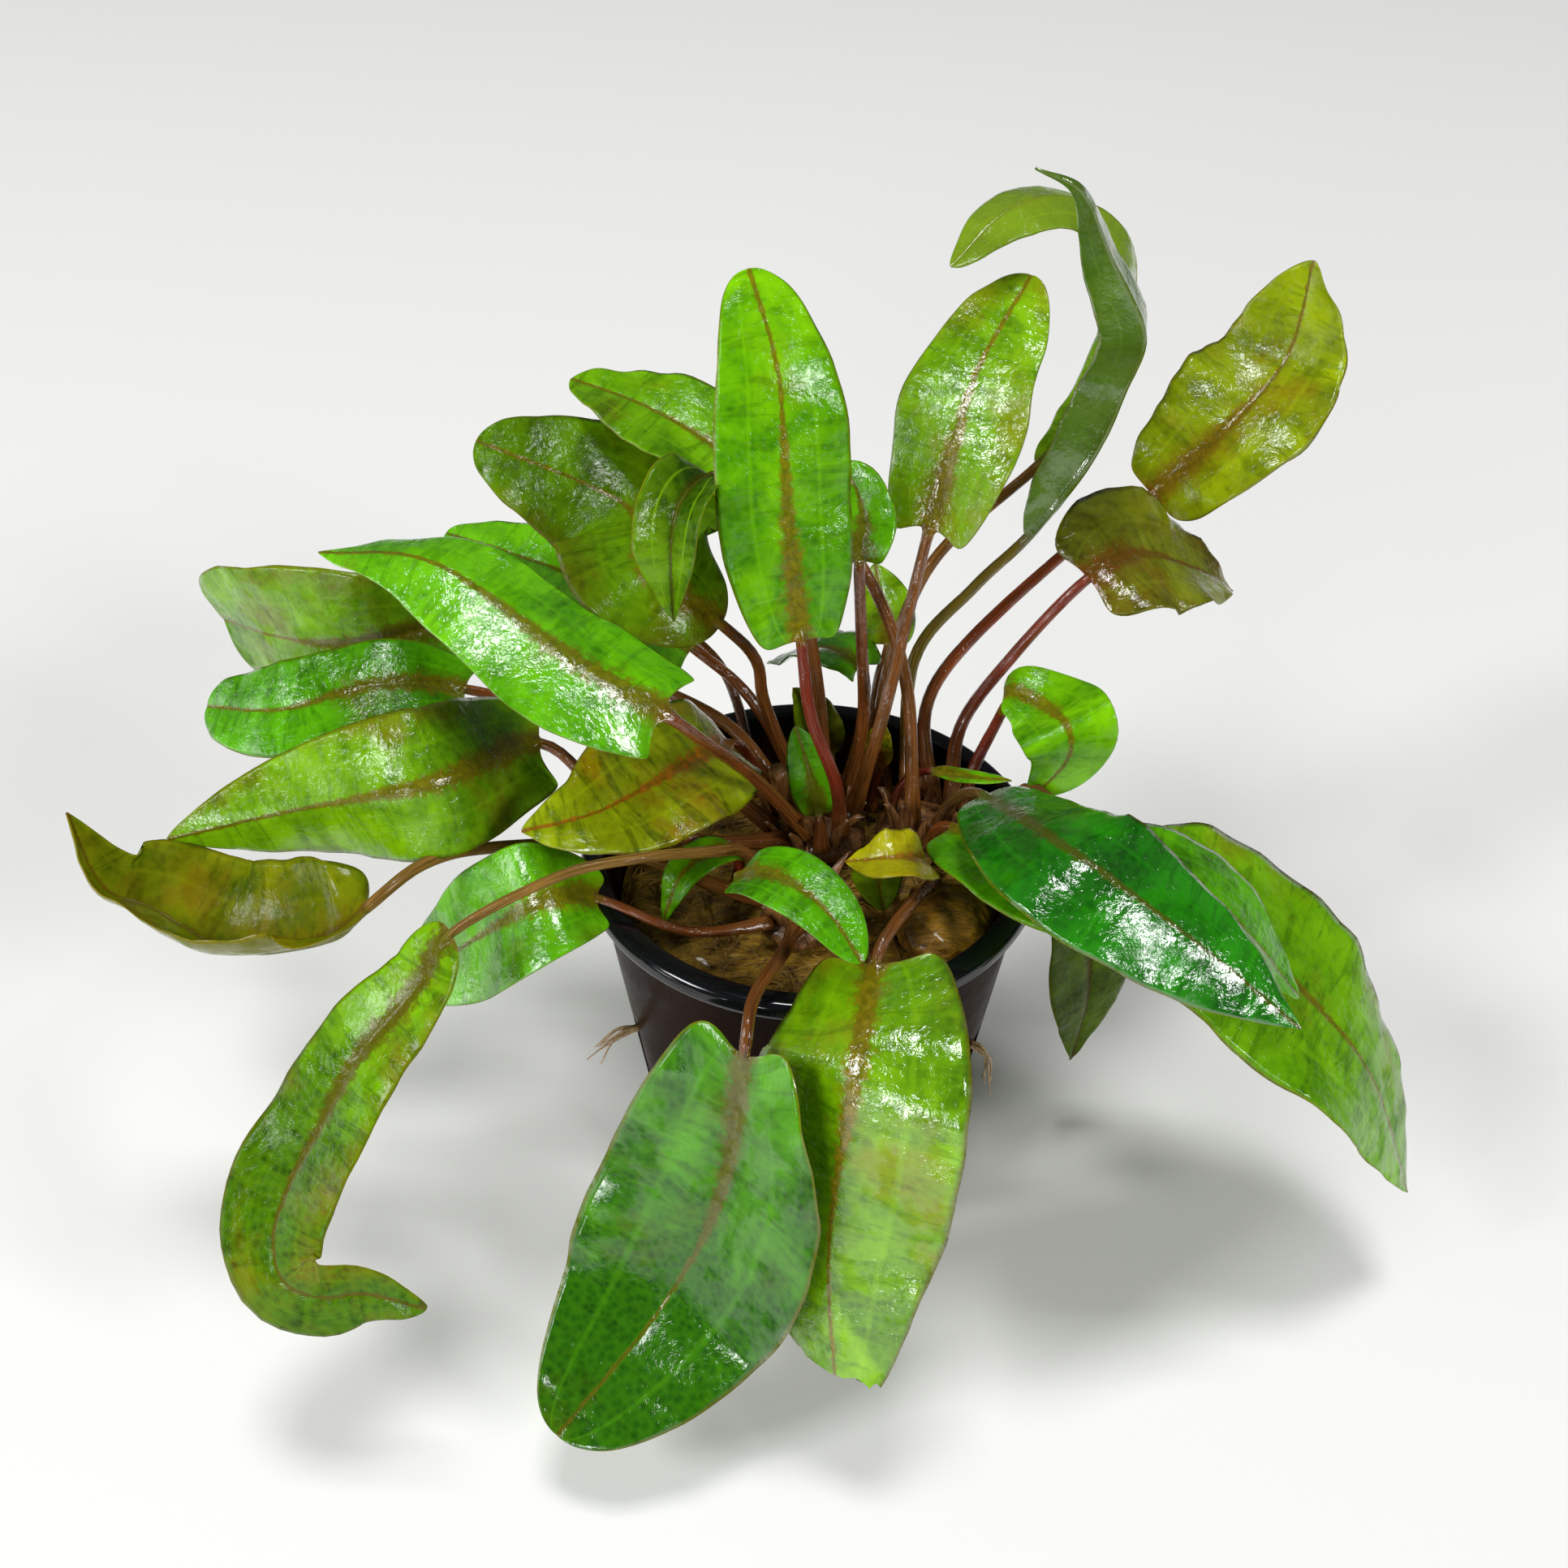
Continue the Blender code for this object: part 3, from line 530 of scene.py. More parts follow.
    def stalk_colour(self, tree: Tree, colour: Socket, at: dict[Mark, Socket]) -> Socket:
        """Colours the stalk, straw-like at its foot, with stripes about 0.35 mm wide along it.

        Args:
            tree: the material's nodes.
            colour: the colour so far.
            at: what the skin carries.

        Returns:
            The new colour.
        """
        along = at[Mark.ALONG]
        lengthwise = {"Vector": at[Mark.PLACE], "Scale": (1 / 6, 1 / 0.35, 1.0)}
        stretched = add(tree, "Mapping", lengthwise)
        stripes = {"Scale": 1.0, "Detail": 3.0, "Roughness": 0.6}
        stripe = add(tree, "TexNoise", {"Vector": stretched, **stripes})
        stripe = add(tree, "MapRange", {VALUE: stripe, START: 0.35, END: 0.65, LOW: 0.45, HIGH: 1.3})
        stalk = cover(tree, self.stalk, self.foot, along, (-0.5, -1.0), soft=True)
        stalk = add(tree, "VectorMath", {0: stalk, "Scale": stripe}, operation="SCALE")
        return cover(tree, colour, stalk, along, (0.03, -0.03), soft=True)

    def relief(self, tree: Tree, place: Socket, wet: Socket) -> Socket:
        """The skin's relief: worm-like wrinkles half a millimetre wide and broader dents.

        Args:
            tree: the material's nodes.
            place: position on the leaf in millimetres.
            wet: low where water half fills the wrinkles.

        Returns:
            The normal.
        """
        worms = {"Scale": 1 / 0.7, "Detail": 3.0, "Roughness": 0.55, "Distortion": 1.4}
        fine = add(tree, "TexNoise", {"Vector": place, **worms})
        depth = add(tree, "MapRange", {VALUE: wet, START: 0.36, END: 0.5, LOW: 0.55, HIGH: 1.0})
        fine = add(tree, "Math", {0: fine, 1: depth}, operation="MULTIPLY")
        wrinkles = {"Strength": 1.0, "Distance": 0.085 * self.wrinkle * MM, "Height": fine}
        normal = add(tree, "Bump", wrinkles)
        spans = {"Scale": 1 / 2.6, "Detail": 2.0, "Roughness": 0.5}
        broad = add(tree, "TexNoise", {"Vector": place, **spans})
        dents = {"Strength": 1.0, "Distance": 0.20 * self.wrinkle * MM, "Height": broad}
        return add(tree, "Bump", {**dents, "Normal": normal})


class Tone(Enum):
    """The looks that the leaves have, from young to dying."""

    VIVID = LeafSkin(
        "#74CA0A", "#388203", "#707C08", 0.28, "#786A0C", 1.8, "#6E9A22", "#743E18", gloss=1.7
    )
    MEADOW = LeafSkin(
        "#66C006", "#306E02", "#607404", 0.25, "#72660C", 1.6, "#6E9A22", "#743E18", streaks=0.5,
        film=0.8, gloss=1.5,
    )
    WEATHERED = LeafSkin(
        "#80B80A", "#467404", "#6E660A", 0.42, "#74640C", 1.8, "#7E9622", "#704420", film=0.8
    )
    FRESH = LeafSkin(
        "#80CA04", "#3E8402", "#7E8808", 0.20, "#806C0C", 1.5, "#86B426", "#742C1A", streaks=0.4,
        film=0.8, gloss=1.45,
    )
    DEEP = LeafSkin(
        "#289206", "#0B4E03", "#285A04", 0.25, "#48540A", 1.0, "#4C7C22", "#5E4420", gloss=1.85
    )
    MOSS = LeafSkin(
        "#56A008", "#1C5402", "#4A5C06", 0.28, "#625E0E", 1.6, "#5E8420", "#6A3E1A", wrinkle=0.42
    )
    HAZEL = LeafSkin(
        "#6A9C06", "#385802", "#5E6006", 0.40, "#74640C", 1.7, "#5E8420", "#6A3E1A", film=0.5,
        gloss=1.45,
    )
    GOLDEN = LeafSkin(
        "#88C008", "#4E8002", "#828608", 0.38, "#846C0C", 1.6, "#88A026", "#7E4C20", gloss=1.75
    )
    LIME = LeafSkin(
        "#7CBC08", "#488002", "#76800A", 0.32, "#7A6C0C", 1.5, "#88A026", "#7E4C20", streaks=0.5,
        film=0.8, gloss=1.45,
    )
    OLIVE = LeafSkin("#A8BE0A", "#728404", "#8C740A", 0.40, "#8C6C12", 1.7, "#8E8E2A", "#904420")
    BRONZE = LeafSkin(
        "#888E0A", "#3E5A03", "#7C640A", 0.50, "#6A560E", 1.2, "#6A7018", "#80602C", wrinkle=0.4,
        film=0.25, gloss=1.45,
    )
    MOTTLED = LeafSkin(
        "#76B00A", "#345C04", "#6E6208", 0.42, "#5C540E", 1.7, "#48600C", "#80602C", streaks=0.6,
        parallel=0.1, wrinkle=0.7, film=0.3, gloss=1.45,
    )
    RUSSET = LeafSkin("#7E8818", "#4C4A06", "#64420A", 0.50, "#6A3E12", 1.6, "#6E7426", "#7E3420")
    DUSK = LeafSkin(
        "#627E04", "#344602", "#463E06", 0.42, "#4A4408", 1.2, "#526602", "#6A4A26", film=0.2,
        gloss=1.35,
    )
    RUST = LeafSkin(
        "#A6BA0C", "#6A7404", "#8E6208", 0.46, "#A8560C", 1.5, "#7E7A1E", "#7C3818", streaks=0.7
    )
    # Painted sheen: this tone's pale grey-green partly stands in for the white reflection over much of
    # a dark green leaf
    GREY = LeafSkin(
        "#7A9A34", "#2C4E0C", "#5A6A18", 0.30, "#6A6E20", 0.7, "#4C6E18", "#74621C", streaks=0.6,
        parallel=0.6, wrinkle=0.8, gloss=1.75,
    )
    STRIPED = LeafSkin(
        "#88B80C", "#548008", "#7A7E0C", 0.28, "#6E6E16", 0.7, "#7C9622", "#8A5A26", parallel=0.7
    )
    FOLDED = LeafSkin(
        "#6E9A0C", "#244804", "#4E5A06", 0.28, "#3E4E0A", 0.8, "#4C6A14", "#6A3E1A", parallel=0.9,
        film=0.4,
    )
    YELLOW = LeafSkin(
        "#BEBA0A", "#888004", "#A8740A", 0.42, "#9C620E", 1.1, "#8E7E1A", "#9A7A3A", streaks=0.3,
        roughness=0.3,
    )


@dataclass
class Leaf:
    """One leaf with its stalk. The stalk's points run from the crown, the blade's from base to tip.

    heading is the compass direction in which the blade runs, 0 along +X and 90 along +Y. roll turns
    the blade about its rib at its base and twist turns it further towards the tip. fold and cup raise
    each half, at the rib and more towards the margin. wave is the height of the wavy margin. peak is
    where the blade is widest, tip runs from 0.3 for a blunt blade to 1 for a pointed one, and shoulder
    from 0.25 for a square base to 0.5 for a tapered one. lobe is how far the blade's two ears reach
    back along the stalk. cut is how much shorter one side of a torn-off tip is than the other. shade
    darkens the blade at its base and its tip, partly as the leaf's own darker tone and partly as
    painted shadow, and where it is below zero it is painted light that lifts a leaf lying in shadow.
    brown ages its two margins, the far side first.
    ease is how many times the skin is smoothed, for a blade that is bent sharply.
    """

    name: str
    slot: str
    tone: Tone
    width: float
    heading: float
    stalk: list[Point]
    blade: list[Point]
    roll: float = 0.0
    twist: float = 0.0
    fold: float = 6.0
    cup: float = 0.0
    wave: float = 0.6
    peak: float = 0.38
    tip: float = 0.75
    shoulder: float = 0.42
    lobe: float = 1.6
    cut: float = 0.0
    radius: float = 0.82
    young: bool = False
    dents: float = 0.14
    shade: tuple[float, float] = (0.06, 0.0)
    brown: tuple[float, float] = (0.0, 0.0)
    ease: int = 0
    number: int = field(init=False)
    points: list[Vector] = field(init=False, repr=False)
    tangents: list[Vector] = field(init=False, repr=False)
    sides: list[Vector] = field(init=False, repr=False)
    lengths: list[float] = field(init=False, repr=False)

    def __post_init__(self) -> None:
        """Works out the leaf's middle line."""
        self.number = int(self.name[-2:])
        self.points = smooth_line(self.stalk + self.blade)
        self.tangents = [way.normalized() for way in directions(self.points)]
        self.sides = self.carry_sides()
        gaps = [(b - a).length for a, b in zip(self.points, self.points[1:])]
        self.lengths = list(accumulate(gaps, initial=0.0))

    @property
    def base(self) -> int:
        """The number of the point where the blade starts."""
        return len(self.stalk) * SPLINE_STEPS

    @property
    def stalk_length(self) -> float:
        """The stalk's length."""
        return self.lengths[self.base]

    @property
    def blade_length(self) -> float:
        """The blade's length."""
        return self.lengths[-1] - self.stalk_length

    def carry_sides(self) -> list[Vector]:
        """Works out the sideways directions, level at the blade's base and turned as little as can be.

        Returns:
            The direction at each point of the middle line.
        """
        heading = math.radians(self.heading)
        level = Vector((-math.sin(heading), math.cos(heading), 0.0))
        sides: list[Vector] = [level] * len(self.points)
        tangent = self.tangents[self.base]
        sides[self.base] = (level - tangent * level.dot(tangent)).normalized()
        onward = range(self.base + 1, len(self.points))
        back = range(self.base - 1, -1, -1)
        for order, step in ((onward, 1), (back, -1)):
            for i in order:
                side = sides[i - step]
                sides[i] = (side - self.tangents[i] * side.dot(self.tangents[i])).normalized()
        return sides

    def at(self, length: float, turn: float) -> tuple[Vector, Vector, Vector, Vector]:
        """The middle line at a length from the crown.

        Args:
            length: how far along the line, in millimetres.
            turn: turn about the line, in degrees.

        Returns:
            Place, direction, side and upward normal.
        """
        i = 0
        while i < len(self.lengths) - 2 and self.lengths[i + 1] < length:
            i += 1
        part = (length - self.lengths[i]) / (self.lengths[i + 1] - self.lengths[i])
        part = min(max(part, 0.0), 1.0)
        place = self.points[i].lerp(self.points[i + 1], part)
        tangent = self.tangents[i].lerp(self.tangents[i + 1], part).normalized()
        side = self.sides[i].lerp(self.sides[i + 1], part)
        side = (side - tangent * side.dot(tangent)).normalized()
        side = Matrix.Rotation(math.radians(turn), 3, tangent) @ side
        return place, tangent, side, tangent.cross(side)

    def half_width(self, u: float) -> float:
        """Works out half the blade's width.

        Args:
            u: 0 at the blade's base and 1 at its tip.

        Returns:
            Half the width in millimetres.
        """
        if self.cut:
            u = u * TORN_SHARE
        bend = math.log(0.5) / math.log(self.peak)
        blunt = self.shoulder + (self.tip - self.shoulder) * u
        return self.width / 2 * max(0.0, math.sin(math.pi * min(u, 1.0) ** bend)) ** blunt

    def row_share(self, part: float) -> float:
        """Where along the blade a row lies, with rows set closer where the outline turns sharply."""
        share = blend(part**2.2, 1 - (1 - part) ** 2, smooth_step(part, 0.1, 0.9))
        return share if self.cut else min(share, 0.9995)

    def rib_radius(self, u: float) -> float:
        """The rib's radius, which is the stalk's own at the blade's base."""
        return self.radius * (1 - STALK_TAPER) * (1 - RIB_TAPER * smooth_step(u, -0.1, 0.8))

    def lift(self, u: float, v: float, length: float, half: float) -> float:
        """How far the blade's waves, ripples and dents raise a point.

        Args:
            u: 0 at the blade's base and 1 at its tip.
            v: -1 at one margin and 1 at the other.
            length: how far the point is from the crown.
            half: half the blade's width there.

        Returns:
            The height over the plain blade.
        """
        size = abs(v)
        sign = math.copysign(1.0, v)
        growth = min(1.0, u / EAR)
        seed = self.number * 7.3
        wave = math.sin(math.tau * WAVES * u + WAVE_SHIFT * sign) * math.sin(math.pi * u)
        ripple = math.sin(math.tau * (RIPPLES + sign) * u + seed + sign)
        (long, wide), (short, narrow) = DENT_SPANS
        dent = noise.noise(Vector((length / long, v * half / wide, seed)))
        dent += 0.5 * noise.noise(Vector((length / short, v * half / narrow, seed + 9)))
        lift = self.wave * v * v * wave + RIPPLE_SHARE * self.wave * size**4 * ripple * growth
        return lift + self.dents * 2.2 * dent * growth * (0.35 + 0.65 * size)

    def cut_back(self, u: float, v: float) -> float:
        """How far a torn tip falls short of a whole one, along a slanting and ragged edge.

        Args:
            u: 0 at the blade's base and 1 at its tip.
            v: -1 at the margin that is torn most and 1 at the other.

        Returns:
            The length that is missing.
        """
        ragged = 0.5 * noise.noise(Vector((v * 6, 3.0, 1.0)))
        ragged += 0.25 * noise.noise(Vector((v * 19, 5.0, 1.0)))
        return self.cut * ((1 - v) / 2 + ragged) * u**6

    def blade_row(self, u: float, shares: list[float]) -> list[Vector]:
        """The blade's cross-section: over the top from margin to margin, and back beneath.

        Args:
            u: 0 at the blade's base and 1 at its tip.
            shares: where the points of each side lie, from -1 at one margin to 1 at the other.

        Returns:
            The row's points, one fewer than twice as many as shares.
        """
        length = self.stalk_length + u * self.blade_length
        place, tangent, side, normal = self.at(length, self.roll + self.twist * u)
        rib = self.rib_radius(u)
        half = math.hypot(self.half_width(u), rib)
        back = self.lobe * u / EAR * math.exp(1 - u / EAR)
        growth = min(1.0, u / EAR)
        upper = []
        lower = []
        for v in shares:
            size = abs(v)
            angle = math.radians(self.fold + self.cup * size) * min(1.0, u / FOLD_BEGINS)
            middle = place + side * (v * half * math.cos(angle))
            middle += normal * (size * half * math.sin(angle) + self.lift(u, v, length, half))
            middle -= tangent * (back * size**1.4 + self.cut_back(u, v))
            outward = normal * math.cos(angle) - side * (math.sin(angle) * math.copysign(1.0, v))
            thin = BLADE_HALF_THICKNESS * growth * math.sqrt(max(0.0, 1 - size**4))
            ridge = rib * math.sqrt(max(0.0, 1 - (v * half / rib) ** 2))
            groove = GROOVE_DEPTH * math.exp(-((v * half / GROOVE_HALF_WIDTH) ** 2)) * growth
            above = ridge * max(0.0, 1 - u / 0.1) ** 2
            upper.append(middle + outward * (max(thin, above) - groove * min(1.0, size + 0.9)))
            lower.append(middle - outward * max(thin, ridge))
        lower[0] = upper[0]
        lower[-1] = upper[-1]
        return upper + lower[-2::-1]

    def stalk_row(self, length: float, shares: list[float]) -> list[Vector]:
        """The stalk's cross-section: round, and flattened to a sheath at its foot.

        Args:
            length: how far from the crown.
            shares: where the points of each side lie, from -1 to 1.

        Returns:
            The row's points, in the order of the blade's.
        """
        place, _, side, normal = self.at(length, self.roll)
        foot = max(0.0, 1 - length / min(SHEATH_LENGTH, self.stalk_length))
        radius = self.radius * (1 - STALK_TAPER * length / self.stalk_length)
        wide = radius * (1 + 0.55 * foot**1.5)
        deep = radius * (1 + 0.12 * foot)
        lowest = self.points[0].z - 0.9
        row = []
        for turn, order in ((1.0, shares), (-1.0, shares[-2::-1])):
            for v in order:
                height = math.sqrt(max(0.0, 1 - v * v)) * turn
                point = place + side * (wide * v) + normal * (deep * height)
                point.z = max(point.z, lowest)
                row.append(point)
        return row

    def lay_rows(self, half_columns: int) -> list[tuple[float, list[float], list[Vector]]]:
        """Works out the leaf's rows, from the stalk's foot to the blade's tip.

        Args:
            half_columns: how many columns of faces each side has.

        Returns:
            For each row where it lies along the leaf, the shares of its points and the points.
        """
        stalk_rows = max(6, round(self.stalk_length / STALK_ROW))
        blade_rows = max(26, min(96, round(self.blade_length / BLADE_ROW)))
        round_shares = [-math.cos(math.pi * i / half_columns) for i in range(half_columns + 1)]
        even = [2 * i / half_columns - 1 for i in range(half_columns + 1)]
        flat_shares = [math.copysign(abs(w) ** 1.25, w) for w in even]
        rows = []
        for i in range(stalk_rows):
            length = self.stalk_length * i / stalk_rows
            points = self.stalk_row(length, round_shares)
            rows.append((length / self.stalk_length - 1, round_shares, points))
        for i in range(blade_rows + 1):
            u = self.row_share(i / blade_rows)
            flat = smooth_step(u, 0.0, 0.08)
            shares = [blend(a, b, flat) for a, b in zip(round_shares, flat_shares)]
            rows.append((u, shares, self.blade_row(u, shares)))
        return rows

    def build(self, material: bpy.types.Material) -> bpy.types.Object:
        """Builds the leaf's skin, stalk and blade in one.

        Args:
            material: the leaf's look.

        Returns:
            The finished piece.
        """
        half_columns = YOUNG_COLUMNS if self.young else GROWN_COLUMNS
        columns = 2 * half_columns
        rows = self.lay_rows(half_columns)
        work = bmesh.new()
        place_layer = work.verts.layers.float_vector.new(Mark.PLACE.value)
        layers = {mark: work.verts.layers.float.new(mark.value) for mark in list(Mark)[1:]}

        def mark(vertex: bmesh.types.BMVert, row: int, column: int) -> None:
            """Writes what the material reads at a vertex.

            Args:
                vertex: the vertex.
                row: its row, counted from the stalk's foot.
                column: its column, counted round the leaf from one margin.
            """
            along, shares, _ = rows[row]
            share = shares[column if column <= half_columns else columns - column]
            if along < 0:
                sideways = self.radius * 1.5 * math.asin(share)
                distance = along * self.stalk_length
            else:
                sideways = share * math.hypot(self.half_width(along), self.rib_radius(along))
                distance = along * self.blade_length
            margin = self.brown[1] if share > 0 else self.brown[0]
            stain = RIB_STAIN * math.exp(-((sideways / RIB_STAIN_WIDTH) ** 2))
            near_rib = stain * (1 - smooth_step(along, 0.0, 0.5))
            vertex[place_layer] = Vector((distance, sideways, self.number * 13.0))
            vertex[layers[Mark.ALONG]] = along
            vertex[layers[Mark.ACROSS]] = share
            vertex[layers[Mark.BENEATH]] = 0.0 if column <= half_columns else 1.0
            # The shade pair blends from base to tip: the leaf's own darker tone with painted shadow,
            # and painted light below zero
            vertex[layers[Mark.SHADE]] = blend(*self.shade, smooth_step(along, 0.1, 0.9))
            vertex[layers[Mark.BROWN]] = margin * smooth_step(abs(share), 0.2, 1.0) + near_rib

        grid_skin(work, len(rows) - 1, columns, lambda row, column: rows[row][2][column], mark)
        every_way = {f"use_axis_{axis}": True for axis in "xyz"}
        for _ in range(self.ease):
            bmesh.ops.smooth_vert(work, verts=work.verts, factor=0.5, **every_way)
        name = self.name.replace("leaf_", "leaf_skin_")
        return make_piece(name, work, material, self.slot, self.name)


@dataclass
class Foliage:
    """All the leaves, in the places that their solids hold."""

    leaves: list[Leaf]

    def build(self) -> list[bpy.types.Object]:
        """Makes one material for each tone that is worn, and builds the leaves.

        Returns:
            The leaves, in their order.
        """
        worn = dict.fromkeys(leaf.tone for leaf in self.leaves)
        skins = {tone: tone.value.material(f"leaf_{tone.name.lower()}") for tone in worn}
        return [leaf.build(skins[leaf.tone]) for leaf in self.leaves]


